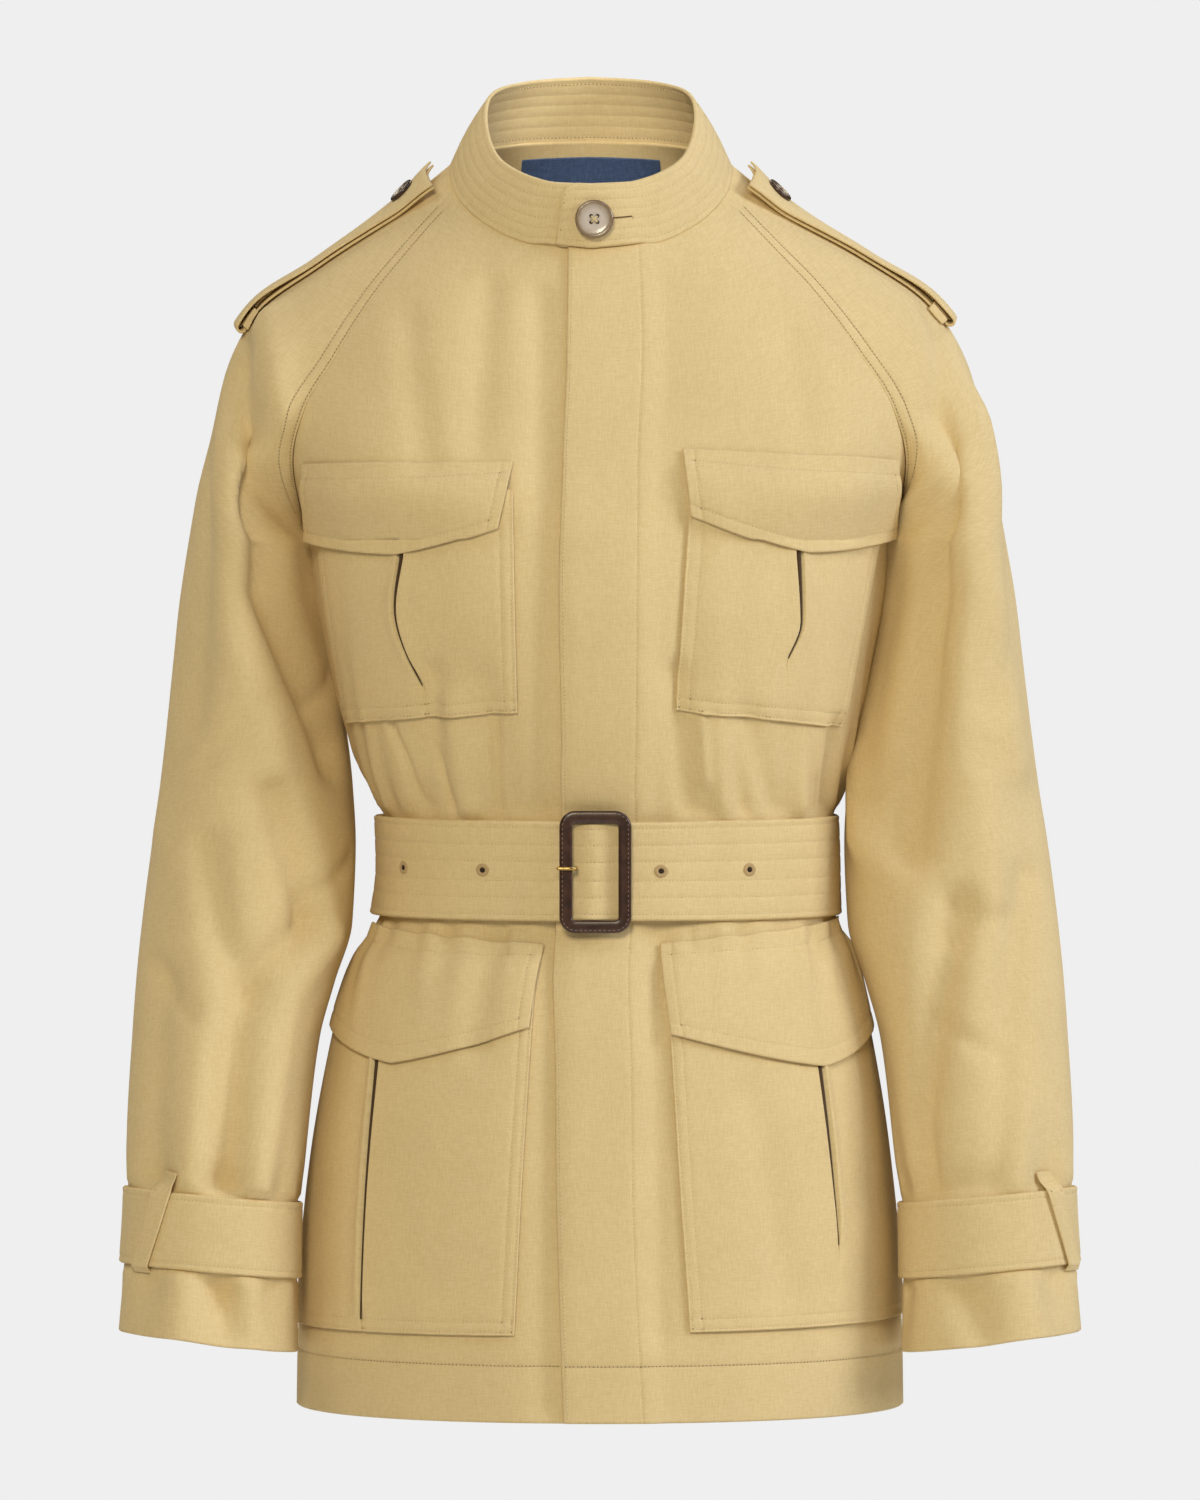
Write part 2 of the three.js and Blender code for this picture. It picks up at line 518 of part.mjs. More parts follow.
// From the lapping end, round the back by the left, to the end beneath: the lift falls by one layer
const collarLayer = (turn) => (COLLAR_THICK + 0.7) * (1 - smooth((turn - 14) / 16));
function collarBand() {
  const turns = [-14, -12, -9, ...steps(-4, 352, 38), 360, 368, 375];
  const corner = (turn) => {
    const inside = Math.max(0, COLLAR_CORNER - (turn + COLLAR_LAP_TURN) * degrees(1) * COLLAR_TOP.depth);
    return COLLAR_CORNER - Math.sqrt(COLLAR_CORNER ** 2 - inside ** 2);
  };
  const point = (level, turn, lift) => {
    const top = 1 - corner(turn) / COLLAR_HEIGHT;
    const foot = 0.4 + 1.1 * smooth((28 - Math.abs(((turn + 180) % 360) - 180)) / 10);
    return collarPoint(turn, mix(foot / COLLAR_HEIGHT, top, level), lift + collarLayer(turn));
  };
  return shell([0, 0.34, 0.67, 1], () => turns, point, COLLAR_THICK - 0.6, -0.6);
}
add('collar', collarBand());

// Pockets and flaps on the fronts. Corners are a girth and a height; inner is toward the centre front.
const POCKETS = [
  { name: 'chest_pocket_right', side: -1, topIn: 48.5, topInZ: -164, topOut: 189, topOutZ: -164,
    lowIn: 47.3, lowInZ: -287, lowOut: 182, lowOutZ: -294.6, pleat: 0.47, bulge: 2.4 },
  { name: 'chest_pocket_left', side: 1, topIn: 51.5, topInZ: -158, topOut: 190, topOutZ: -160,
    lowIn: 42.4, lowInZ: -286, lowOut: 158, lowOutZ: -296.7, pleat: 0.5, bulge: 2.4 },
  { name: 'hip_pocket_right', side: -1, topIn: 38, topInZ: -436, topOut: 192, topOutZ: -436,
    lowIn: 47.9, lowInZ: -631.8, lowOut: 224, lowOutZ: -633, pleat: 0.55, bulge: 2.8 },
  { name: 'hip_pocket_left', side: 1, topIn: 36, topInZ: -436, topOut: 192, topOutZ: -434,
    lowIn: 50.2, lowInZ: -630, lowOut: 226, lowOutZ: -628, pleat: 0.53, bulge: 2.8 },
];
const FLAPS = [
  { name: 'chest_flap_right', side: -1, topIn: 48.2, topInZ: -148.4, topOut: 182, topOutZ: -149.5,
    lowIn: 56.5, lowInZ: -184.5, lowOut: 196, lowOutZ: -192, point: 0.42, drop: 11.5, flare: 2.5 },
  { name: 'chest_flap_left', side: 1, topIn: 46.7, topInZ: -141.3, topOut: 184, topOutZ: -148,
    lowIn: 50.5, lowInZ: -178, lowOut: 196, lowOutZ: -190, point: 0.46, drop: 14.5, flare: 2.5 },
  { name: 'hip_flap_right', side: -1, topIn: 35, topInZ: -416.6, topOut: 176, topOutZ: -409,
    lowIn: 40.4, lowInZ: -462.3, lowOut: 192, lowOutZ: -466, point: 0.53, drop: 19.5, flare: 1 },
  { name: 'hip_flap_left', side: 1, topIn: 30.5, topInZ: -416.2, topOut: 174, topOutZ: -405,
    lowIn: 38.2, lowInZ: -466, lowOut: 192, lowOutZ: -466, point: 0.6, drop: 20, flare: 1 },
];
const PATCH_CLOTH = 1.3;
const PATCH_GAP = 1.3;         // between a pocket and the flap that lies on it
function patchPlace(patch, across, down) {
  const girth = mix(mix(patch.topIn, patch.topOut, across), mix(patch.lowIn, patch.lowOut, across), down);
  const z = mix(mix(patch.topInZ, patch.topOutZ, across), mix(patch.lowInZ, patch.lowOutZ, across), down);
  return { girth, z };
}
function patchPoint(patch, across, down, lift) {
  const { girth, z } = patchPlace(patch, across, down);
  const tip = patch.drop ? patch.drop * down * tent(across, patch.point) : 0;
  const drop = dropAtHeight(girth, z - tip);
  const end = frontRow(drop).length - PROBE;
  const under = patch.side === 1 ? placketLift(girth, drop) : 0;
  return frontPoint(patch.side, Math.min(girth, end), drop, lift + under);
}
// A soft point: 1 at the tip, 0 at both ends
function tent(across, tip) {
  const t = across < tip ? across / tip : (1 - across) / (1 - tip);
  return t * (1.25 - 0.25 * t * t);
}
const hump = (t) => Math.sin(Math.PI * clamp01(t)) ** 0.7;
const swell = (patch, across, down) => patch.bulge * hump(across) * hump(down * 0.9 + 0.06);
function pocket(patch) {
  const p = patch.pleat;
  const columns = [0, 0.05, ...steps(0.15, p - 0.04, 3), p, ...steps(p + 0.04, 0.86, 3), 0.95, 1];
  const groove = (across, down) => 1.1 * Math.exp(-(((across - p) / 0.018) ** 2))
    * smooth(down / 0.05) * smooth((0.85 - down) / 0.2);
  return shell(steps(0, 1, 8), () => columns, (down, across, lift) => patchPoint(patch, across, down, lift),
    (down, across) => STANDOFF + PATCH_CLOTH + Math.max(0, swell(patch, across,
      down) - groove(across, down)),
    (down, across) => STANDOFF + 0.8 * Math.max(0, swell(patch, across, down) - groove(across, down)));
}
function flap(patch, under) {
  const tip = patch.point;
  const columns = [0, 0.05, ...steps(0.14, tip, 4), ...steps(tip, 0.86, 4).slice(1), 0.95, 1];
  const rise = (down, across) => {
    const { girth, z } = patchPlace(patch, across, down);
    const along = clamp01((z - under.topInZ) / (under.lowInZ - under.topInZ));
    const share = clamp01((girth - under.topIn) / (under.topOut - under.topIn));
    const below = PATCH_CLOTH + swell(under, share, along) + PATCH_GAP;
    const corner = patch.flare * smooth((across - 0.75) / 0.25) * down;
    return STANDOFF + below * smooth((down - 0.08) / 0.25) + corner + 0.8 * down * hump(across);
  };
  return shell([0, 0.14, 0.3, 0.5, 0.75, 1], () => columns,
    (down, across, lift) => patchPoint(patch, across, down, lift),
    (down, across) => rise(down, across) + PATCH_CLOTH, rise);
}
POCKETS.forEach((patch, i) => {
  add(patch.name, pocket(patch));
  add(FLAPS[i].name, flap(FLAPS[i], patch));
});

// Belt: one strap that starts beneath the buckle, runs round by the wearer's right, and comes back
// from the left through the buckle to lie on itself
const BELT_MIDDLE = (WAIST_TOP + WAIST_BOTTOM) / 2;
const BELT_HALF = 27.3;
const BELT_THICK = 2.2;
const BELT_LIFT = 1;
const BELT_TAIL = 232;         // from the buckle to the tip
const BELT_POINT = 15;         // how far the tip tapers
const BUCKLE_X = -8.6;         // the buckle's middle, before the lean
const waistFront = frontRow(BELT_MIDDLE).length;
const waistBack = backRow(BELT_MIDDLE).length;
const waistRound = 2 * (waistFront + waistBack);
// distance runs from the centre front by the wearer's right, all the way round and on
function waistPoint(distance, drop, lift) {
  const s = ((distance % waistRound) + waistRound) % waistRound;
  const frontShare = frontRow(drop).length / waistFront;
  const backShare = backRow(drop).length / waistBack;
  const level = (girth, side) => {
    const base = lifted(bareFront, Math.min(girth, frontRow(drop).length - PROBE), drop, PROBE, 1, lift);
    return place(side, base);
  };
  if (s < waistFront) return level(s * frontShare, -1);
  if (s > waistRound - waistFront) return level((waistRound - s) * frontShare, 1);
  const girth = (s - waistFront - waistBack) * backShare;
  const near = Math.min(Math.abs(girth), backRow(drop).length - PROBE);
  return place(girth < 0 ? -1 : 1, lifted(bareBack, near, drop, PROBE, -1, lift));
}
function beltLift(s) {
  const start = -BUCKLE_X;
  const second = smooth((s - waistRound + 62) / 34);
  const bar = 3.1 * Math.exp(-(((s - waistRound - start) / 7.5) ** 2));
  const nearEnd = PLACKET_RISE * (1 - smooth((s - 30) / 12));
  const tailRise = s > waistRound ? PLACKET_RISE * (1 - smooth((s - waistRound - 30) / 12)) : PLACKET_RISE * second;
  return BELT_LIFT + (BELT_THICK + 0.5) * second + bar + (s < 60 ? nearEnd : tailRise);
}
function belt() {
  const from = -BUCKLE_X + 2;
  const to = waistRound + BELT_TAIL;
  const span = waistRound - 70 - from;
  const places = [...steps(from, from + 36, 5), ...steps(from + 36, from + span, 38).slice(1),
    ...steps(from + span, waistRound - 16, 6).slice(1), ...steps(waistRound - 16,
      waistRound + 32, 16).slice(1),
    ...steps(waistRound + 32, to - BELT_POINT, 11).slice(1), to - 5, to];
  const taper = (s) => BELT_HALF - 16 * clamp01((s - (to - BELT_POINT)) / BELT_POINT);
  return shell([-1, 0, 1], () => places,
    (level, s, lift) => waistPoint(s, BELT_MIDDLE + level * taper(s), lift),
    (level, s) => beltLift(s) + BELT_THICK, (level, s) => beltLift(s));
}
add('belt', belt());

// Buckle: a leather-covered frame over the strap, with a bar beneath it and a brass prong
const BUCKLE = { width: 40, height: 68, rim: 7.2, corner: 9, thick: 3.6 };
function roundedRect(width, height, corner) {
  const shape = new THREE.Shape();
  const x = width / 2;
  const y = height / 2;
  shape.moveTo(x, -y + corner);
  shape.absarc(x - corner, y - corner, corner, 0, Math.PI / 2);
  shape.absarc(-x + corner, y - corner, corner, Math.PI / 2, Math.PI);
  shape.absarc(-x + corner, -y + corner, corner, Math.PI, 1.5 * Math.PI);
  shape.absarc(x - corner, -y + corner, corner, 1.5 * Math.PI, 2 * Math.PI);
  return shape;
}
function toManifold(geometry) {
  const plain = BufferGeometryUtils.mergeVertices(
    new THREE.BufferGeometry().setAttribute('position',
      geometry.getAttribute('position')).setIndex(geometry.index),
    1e-4);
  const mesh = new wasm.Mesh({
    numProp: 3, vertProperties: new Float32Array(plain.getAttribute('position').array),
    triVerts: new Uint32Array(plain.index.array),
  });
  mesh.merge();
  return new wasm.Manifold(mesh);
}
function fromManifold(solid) {
  const mesh = solid.getMesh();
  const geometry = new THREE.BufferGeometry();
  geometry.setAttribute('position', new THREE.BufferAttribute(mesh.vertProperties, 3));
  geometry.setIndex(new THREE.BufferAttribute(mesh.triVerts, 1));
  geometry.computeVertexNormals();
  return geometry;
}
const buckleFoot = waistPoint(waistRound - BUCKLE_X, BELT_MIDDLE, 0);
const frameBack = BELT_LIFT + 2 * BELT_THICK + 0.5 + PLACKET_RISE + 2.1;
function buckleFrame() {
  const ring = roundedRect(BUCKLE.width, BUCKLE.height, BUCKLE.corner);
  ring.holes.push(roundedRect(BUCKLE.width - 2 * BUCKLE.rim, BUCKLE.height - 2 * BUCKLE.rim, 3.5));
  const bevel = 1;
  const extruded = new THREE.ExtrudeGeometry(ring, {
    depth: BUCKLE.thick - 2 * bevel, bevelThickness: bevel, bevelSize: 0.9, bevelOffset: -0.9,
    bevelSegments: 1, curveSegments: 4,
  });
  const frame = toManifold(extruded.translate(0, 0, bevel));
  const bar = toManifold(new THREE.BoxGeometry(3, BUCKLE.height - 5, 2).translate(0, 0, -3.2));
  const post = (end) => toManifold(new THREE.BoxGeometry(3, 3.5, 4.8).translate(0, end * 30.2, -1.8));
  const joined = frame.add(bar).add(post(1)).add(post(-1));
  return fromManifold(joined).rotateX(Math.PI / 2);
}
const buckle = add('buckle_frame', buckleFrame(), leather);
buckle.position.set(buckleFoot.x, buckleFoot.y - frameBack, buckleFoot.z);

// The prong comes out of an eyelet beside the frame and lies over its side bar
const PRONG = { fromX: -10.6, toX: -21.6, wire: 1.1 };
const barFront = BUCKLE.thick + PRONG.wire + 0.3;
const prongPath = new THREE.CatmullRomCurve3([
  vec(PRONG.fromX, 0.9, 0), vec(PRONG.fromX - 0.9, -barFront + 0.9, 0), vec(PRONG.fromX - 3, -barFront, 0),
  vec(PRONG.toX + 1.5, -barFront, 0), vec(PRONG.toX, -barFront + 0.2, 0),
]);
const prong = add('buckle_prong', cappedTube(prongPath, 10, PRONG.wire, 8), brass);
prong.position.copy(buckle.position).add(vec(0, 0, 2));

// A round wire along a path, closed at both ends
function cappedTube(path, along, radius, around) {
  const frames = path.computeFrenetFrames(along);
  const positions = [];
  steps(0, 1, along).forEach((t, i) => {
    const centre = path.getPointAt(t);
    for (let k = 0; k < around; k += 1) {
      const a = (2 * Math.PI * k) / around;
      const p = centre.clone().addScaledVector(frames.normals[i], radius * Math.cos(a))
        .addScaledVector(frames.binormals[i], radius * Math.sin(a));
      positions.push(p.x, p.y, p.z);
    }
  });
  const index = [];
  for (let i = 0; i < along; i += 1) {
    for (let k = 0; k < around; k += 1) {
      const a = i * around + k;
      const b = i * around + ((k + 1) % around);
      index.push(a, b, b + around, a, b + around, a + around);
    }
  }
  for (let k = 1; k < around - 1; k += 1) {
    index.push(0, k + 1, k);
    index.push(along * around, along * around + k, along * around + k + 1);
  }
  const geometry = new THREE.BufferGeometry();
  geometry.setAttribute('position', new THREE.Float32BufferAttribute(positions, 3));
  geometry.setIndex(signedVolume(positions, index) < 0 ? index.reverse() : index);
  geometry.computeVertexNormals();
  return geometry;
}

// A flat strip bent along a path. Each place on the path is a drop and a lift; pointOf maps it, with
// a place across the strip, onto the surface that the strip lies on.
function strip(path, across, thick, pointOf) {
  const side = (i) => {
    const a = path[Math.max(0, i - 1)];
    const b = path[Math.min(path.length - 1, i + 1)];
    const length = Math.hypot(b.along - a.along, b.lift - a.lift);
    return { along: (b.lift - a.lift) / length, lift: -(b.along - a.along) / length };
  };
  const grid = (way) => path.map((p, i) => across.map((c) => {
    const n = side(i);
    return pointOf(p.along + way * n.along, c, p.lift + way * n.lift);
  }));
  return wall(grid(thick / 2), grid(-thick / 2));
}

// Shoulder straps: sewn flat, folded back over themselves at the shoulder's end, and buttoned near
// the neck. Each lies along the shoulder line, across both halves of the sleeve.
const STRAP = {
  neckDrop: 5.5, endDrop: 92.5, halfNeck: 17, halfEnd: 24, thick: 1.4, lower: 1.7, upper: 4.1,
    rise: 2.6, tilt: 4,
};
const shoulderAlong = cached((drop) => {
  let length = 0;
  for (let d = 0; d < drop; d += 2) {
    length += sleevePoint(1, true, 1, d, 0).distanceTo(sleevePoint(1, true, 1, Math.min(d + 2, drop), 0));
  }
  return { length };
});
const strapFrom = shoulderAlong(STRAP.neckDrop).length;
const strapTo = shoulderAlong(STRAP.endDrop).length;
function dropAlong(length) {
  let low = 0;
  let high = 130;
  for (let i = 0; i < 20; i += 1) {
    const middle = (low + high) / 2;
    if (shoulderAlong(middle).length < length) low = middle;
    else high = middle;
  }
  return (low + high) / 2;
}
// across is in millimetres, over 0 toward the front
function shoulderPoint(side, along, across, lift) {
  const drop = dropAlong(along);
  const front = across >= 0;
  const row = (front ? sleeveFrontRow : sleeveBackRow)(drop);
  return sleevePoint(side, front, 1 - Math.abs(across) / row.length, drop, lift);
}
const neckRise = (t) => STRAP.tilt * (1 - smooth(t / 0.22));
// Where a button rests on the strap's upper layer
function strapButton(side, along) {
  const top = (off, across) => {
    const t = (along + off - strapFrom) / (strapTo - strapFrom);
    return shoulderPoint(side, along + off, across, STRAP.upper + STRAP.thick / 2 + neckRise(t));
  };
  const up = top(9, 0).sub(top(-9, 0)).cross(top(0, 7).sub(top(0, -7))).normalize();
  if (up.z < 0) up.negate();
  const rests = [top(-9, 0), top(9, 0), top(0, 0), top(-4, 6), top(-4, -6)];
  const height = Math.max(...rests.map((p) => p.dot(up)));
  const middle = top(0, 0);
  return { up, foot: middle.addScaledVector(up, height - middle.dot(up) - 0.55) };
}
function strapPath() {
  const parts = steps(0, 1, 10);
  const lower = parts.map((t) => ({ along: mix(strapFrom, strapTo, t), lift: STRAP.lower + neckRise(t) }));
  const gap = (STRAP.upper + STRAP.rise - STRAP.lower) / 2;
  const turn = steps(-80, 80, 6).map((a) => ({
    along: strapTo + 1 + 1.1 * gap * Math.cos(degrees(a)),
      lift: STRAP.lower + gap + gap * Math.sin(degrees(a)),
  }));
  const upper = parts.slice().reverse().map((t) => ({
    along: mix(strapFrom, strapTo, t), lift: STRAP.upper + neckRise(t) + STRAP.rise * smooth((t - 0.6) / 0.4),
  }));
  return [...lower, ...turn, ...upper];
}
function shoulderStrap(side) {
  const halfAt = (along) => mix(STRAP.halfNeck, STRAP.halfEnd,
    clamp01((along - strapFrom) / (strapTo - strapFrom)));
  const path = strapPath();
  return strip(path, [-1, 0, 1], STRAP.thick,
    (along, c, lift) => shoulderPoint(side, along, c * halfAt(along), lift));
}
// The carrier is a short band sewn across the sleeve, over the strap's lower layer
const CARRIER = { half: 27, width: 11, thick: 1.2 };
function carrier(side) {
  const middle = strapTo - 6;
  const over = STRAP.lower + STRAP.thick / 2 + 0.4 + CARRIER.thick / 2;
  const lift = (c) => mix(STANDOFF + CARRIER.thick / 2, over, smooth((CARRIER.half - Math.abs(c)) / 2.6));
  const places = [-27, -25.6, -24.4, -14, 0, 14, 24.4, 25.6, 27];
  return shell([-0.5, 0.5], () => places,
    (level, c, off) => shoulderPoint(side, middle + level * CARRIER.width, c, lift(c) + off),
    CARRIER.thick / 2, -CARRIER.thick / 2);
}
// Buttons: a shallow dish with a rim and four holes
function button(radius, thick) {
  const profile = [[0, 0], [radius - 0.8, 0], [radius, 0.8], [radius, thick - 0.7], [radius - 0.9, thick],
    [radius - 2.2, thick - 0.2], [radius * 0.5, thick - 0.8], [0, thick - 0.8]];
  const body = toManifold(new THREE.LatheGeometry(profile.map(([x, y]) => new THREE.Vector2(x, y)), 18));
  const hole = (x, z) => toManifold(new THREE.CylinderGeometry(radius * 0.09, radius * 0.09, 4 * thick, 6)
    .translate(x * radius * 0.2, 0, z * radius * 0.2));
  const holes = [[1, 1], [1, -1], [-1, 1], [-1, -1]].map(([x, z]) => hole(x, z));
  return fromManifold(holes.reduce((solid, one) => solid.subtract(one), body));
}
// A thing standing on a surface: its +Y turned to the surface's normal
function stand(mesh, at, off) {
  const up = off.clone().sub(at).normalize();
  mesh.quaternion.setFromUnitVectors(vec(0, 1, 0), up);
  mesh.position.copy(off);
}
const collarButtonTurn = 1.4;
stand(add('collar_button', button(10.75, 3.2), horn), collarPoint(collarButtonTurn, 0.46, COLLAR_THICK + 2),
  collarPoint(collarButtonTurn, 0.46, 2 * COLLAR_THICK + 0.7));
sides.forEach(({ side, word }) => {
  add(`shoulder_strap_${word}`, shoulderStrap(side));
  add(`strap_carrier_${word}`, carrier(side));
  const knob = strapButton(side, strapFrom + 17);
  stand(add(`strap_button_${word}`, button(8, 2.6), leather), knob.foot, knob.foot.clone().add(knob.up));
});

// Cuff straps: a closed band round each sleeve, with a narrow loop sewn over it
const CUFF_STRAP = { lift: STANDOFF, thick: 2 };
function ringPlace(side, around, drop, lift) {
  return around <= 1 ? sleevePoint(side, true, around, drop, lift) : sleevePoint(side, false,
    2 - around, drop, lift);
}
function cuffStrap(side) {
  const places = steps(0, 2, 26).slice(0, -1);
  return shell([STRAP_TOP, (STRAP_TOP + STRAP_BOTTOM) / 2, STRAP_BOTTOM], () => places,
    (drop, around, lift) => ringPlace(side, around, drop, lift),
    CUFF_STRAP.lift + CUFF_STRAP.thick, CUFF_STRAP.lift, true);
}
const LOOPS = [
  { side: 1, word: 'left', topShare: 0.72, lowShare: 0.84, top: 520, low: 577 },
  { side: -1, word: 'right', topShare: 0.65, lowShare: 0.76, top: 519, low: 577 },
];
const LOOP_THICK = 1.3;
function cuffLoop({ side, topShare, lowShare, top, low }) {
  const over = CUFF_STRAP.lift + CUFF_STRAP.thick + 1;
  const lift = (drop) => mix(STANDOFF, over, smooth((drop - top) / 9) * smooth((low - drop) / 3.4));
  const drops = [top, top + 3, top + 6, top + 9, ...steps(STRAP_TOP + 4, STRAP_BOTTOM - 1.5, 3),
    low - 2, low];
  return shell(drops, () => [-0.5, 0.5], (drop, c, off) => {
    const share = mix(topShare, lowShare, (drop - top) / (low - top));
    return sleevePoint(side, true, share + (c * 11) / sleeveFrontRow(drop).length, drop, lift(drop) + off);
  }, LOOP_THICK, 0);
}
sides.forEach(({ side, word }) => add(`cuff_strap_${word}`, cuffStrap(side)));
LOOPS.forEach((loop) => add(`cuff_loop_${loop.word}`, cuffLoop(loop)));

// The label inside the back, below the neck seam
const LABEL = { half: 40.5, top: 8, low: 39, thick: 0.7, gap: 0.9 };
add('label', shell(steps(LABEL.top, LABEL.low, 2), () => steps(-LABEL.half, LABEL.half, 6),
  (drop, girth, lift) => backPoint(girth, drop, lift),
  -EASE - CLOTH - LABEL.gap, -EASE - CLOTH - LABEL.gap - LABEL.thick), labelCloth);

export default jacket;
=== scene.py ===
"""The looks of a belted utility jacket of sand-coloured cotton drill, filled out as if worn.

Every cloth piece is a fine shell on the same surfaces as its solid, with the softer folds, gathers,
sewn rows and stitches added. Lengths are millimetres until a mesh is made, and metres from there.
"""

import math

import bpy
import numpy as np
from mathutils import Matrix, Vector


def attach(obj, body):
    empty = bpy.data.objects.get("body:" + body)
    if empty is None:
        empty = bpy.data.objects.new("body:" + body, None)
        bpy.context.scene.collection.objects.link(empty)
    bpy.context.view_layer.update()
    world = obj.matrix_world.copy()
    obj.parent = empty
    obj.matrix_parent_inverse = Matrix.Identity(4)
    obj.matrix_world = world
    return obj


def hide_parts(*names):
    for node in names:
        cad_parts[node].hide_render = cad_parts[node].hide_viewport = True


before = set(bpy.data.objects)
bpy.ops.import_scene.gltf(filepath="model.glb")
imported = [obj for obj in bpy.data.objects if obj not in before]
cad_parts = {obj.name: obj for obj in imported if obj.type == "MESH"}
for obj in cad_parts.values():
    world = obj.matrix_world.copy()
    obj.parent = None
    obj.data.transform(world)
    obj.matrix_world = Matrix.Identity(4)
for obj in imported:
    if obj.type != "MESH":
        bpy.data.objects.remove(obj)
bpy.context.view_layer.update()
MM = 0.001

# Camera

VIEW_HEIGHT = 0.8475      # metres that the frame's height shows at the jacket
VIEW_FROM = Vector((0, -6, -0.141))
VIEW_AT = Vector((0, 0, -0.311))
camera_data = bpy.data.cameras.new("camera")
camera_data.sensor_fit = "VERTICAL"
camera_data.sensor_height = 36
camera_data.lens = 36 * (VIEW_AT - VIEW_FROM).length / VIEW_HEIGHT
camera_data.clip_end = 100
camera = bpy.data.objects.new("camera", camera_data)
camera.location = VIEW_FROM
camera.rotation_euler = (VIEW_AT - VIEW_FROM).to_track_quat("-Z", "Y").to_euler()
bpy.context.scene.collection.objects.link(camera)
bpy.context.scene.camera = camera
# The cloth's own colours, with no film curve over them
bpy.context.scene.view_settings.view_transform = "Standard"

# Sizes shared with the solids

CLOTH = 1.6               # one layer of the body cloth, with its seam allowance
SEAM_GAP = 0.3
EASE = 0.2                # how far a wall lies inside its nominal surface
STANDOFF = 0.8            # between a panel's nominal surface and what is laid on it
FRONT_LENGTH = 650
NECK_Z = -30
ARMPIT_DROP = 160
SLEEVE_DROP = 612
WORD = {1: "left", -1: "right"}   # the wearer's side, by the sign of x
SIDE_Y = 5
WAIST_TOP, WAIST_BOTTOM = 318.5, 373
STRAP_TOP, STRAP_BOTTOM = 531, 573
PLACKET_RISE = 2.5
HEM_ROW = 619             # drop of the row that holds the hem
ROW_DEPTH = 0.32          # how deep a sewn row draws the cloth in


def table(names, *rows):
    """A short table with named columns, as one array for each column."""
    return {name: np.array([row[i] for row in rows], float) for i, name in enumerate(names.split())}


def smooth(t):
    t = np.clip(t, 0, 1)
    return t * t * (3 - 2 * t)


def mix(a, b, t):
    return a + (b - a) * t


def track(x, y):
    """A smooth curve through y against x that never overshoots."""
    secant = np.diff(y) / np.diff(x)
    before, after = secant[:-1], secant[1:]
    both = np.where(before * after <= 0, 1, before + after)
    inner = np.where(before * after <= 0, 0, 2 * before * after / both)
    slope = np.concatenate([secant[:1], inner, secant[-1:]])

    def at(value):
        i = np.clip(np.searchsorted(x, value, side="left") - 1, 0, len(x) - 2)
        h = x[i + 1] - x[i]
        t = np.clip((value - x[i]) / h, 0, 1)
        return (y[i] * (2 * t**3 - 3 * t**2 + 1) + slope[i] * h * (t**3 - 2 * t**2 + t)
                + y[i + 1] * (3 * t**2 - 2 * t**3) + slope[i + 1] * h * (t**3 - t**2))

    return at


def stack(x, y, z):
    return np.stack(np.broadcast_arrays(x, y, z), axis=-1).astype(float)


def unit(v):
    return v / (np.linalg.norm(v, axis=-1, keepdims=True) + 1e-9)


def run_along(path):
    """The distance of each point from the first one, along the path."""
    return np.concatenate([[0], np.cumsum(np.linalg.norm(np.diff(path, axis=0), axis=1))])


def full_turn(count):
    return 2 * np.pi * np.arange(count) / count


# The jacket's surfaces

NECK = {"half": 78, "mid": -6, "depth": 67}
COLLAR_TOP = {"half": 58.5, "mid": -13, "depth": 59}
NECK_HEIGHTS = table(
    "turn seam top",
    (0, -30, 6), (20, -27, 7), (33, -22.5, 10), (47, -15, 15), (60, -6.5, 21), (72, 2, 30),
    (90, 16, 47), (105, 23.5, 57), (125, 29, 63.5), (155, 33.5, 68), (180, 34.5, 69.5))
seam_height = track(NECK_HEIGHTS["turn"], NECK_HEIGHTS["seam"])
top_height = track(NECK_HEIGHTS["turn"], NECK_HEIGHTS["top"])
FRONT_TURN, BACK_TURN = 72, 115


def ring_point(ring, height, turn):
    a = np.radians(turn)
    return stack(ring["half"] * np.sin(a), ring["mid"] - ring["depth"] * np.cos(a), height(np.abs(turn)))


# Levels of the raglan yoke: the front seam, the back seam (rear) and the shoulder line (out)
YOKE = table(
    "drop frontY backY backZ seamX seamY seamZ rearX rearY rearZ turn reach armTurn armReach outX outY outZ outReach",
    (0, -73, 61, 34.5, 74.2, -26.7, 2, 70.7, 22.3, 26.5, 69, 30, 69, 7, 78, -6, 15, 7),
    (22, -80, 71, 12, 100, -42, -27, 96, 42, 3, 50, 34, 50, 18, 119, 1, -13, 20),
    (48, -88, 83, -18, 121, -54, -52, 118, 57, -35, 38, 42, 38, 27, 153, 4, -36, 33),
    (82, -99, 96, -65, 146, -64, -89, 142, 71, -75, 34, 50, 24, 33, 189, 6, -62, 46),
    (113, -109, 103, -114, 165, -65, -121, 160, 74, -115, 42, 54, 4, 34, 209, 6, -95, 54),
    (137, -115, 106, -152, 171.5, -50, -150, 168, 58, -149, 64, 64, -45, 56, 219.5, 5, -139, 74))
# Below the armpit, the body's half rings
TORSO = table(
    "drop frontY half backY",
    (160, -119, 166, 106), (196, -121, 161, 104), (230, -118, 154, 100), (264, -112, 146.5, 96),
    (290, -105, 138.5, 92), (306, -99.5, 132, 89), (319, -95.5, 127, 87), (345, -94.5, 127, 87),
    (373, -96, 129, 89), (388, -100, 134, 93), (408, -106.5, 142, 99), (439, -114, 151, 107),
    (507, -123, 163.5, 116), (570, -127, 169.5, 120), (620, -129, 171.5, 122), (650, -130, 172, 123))
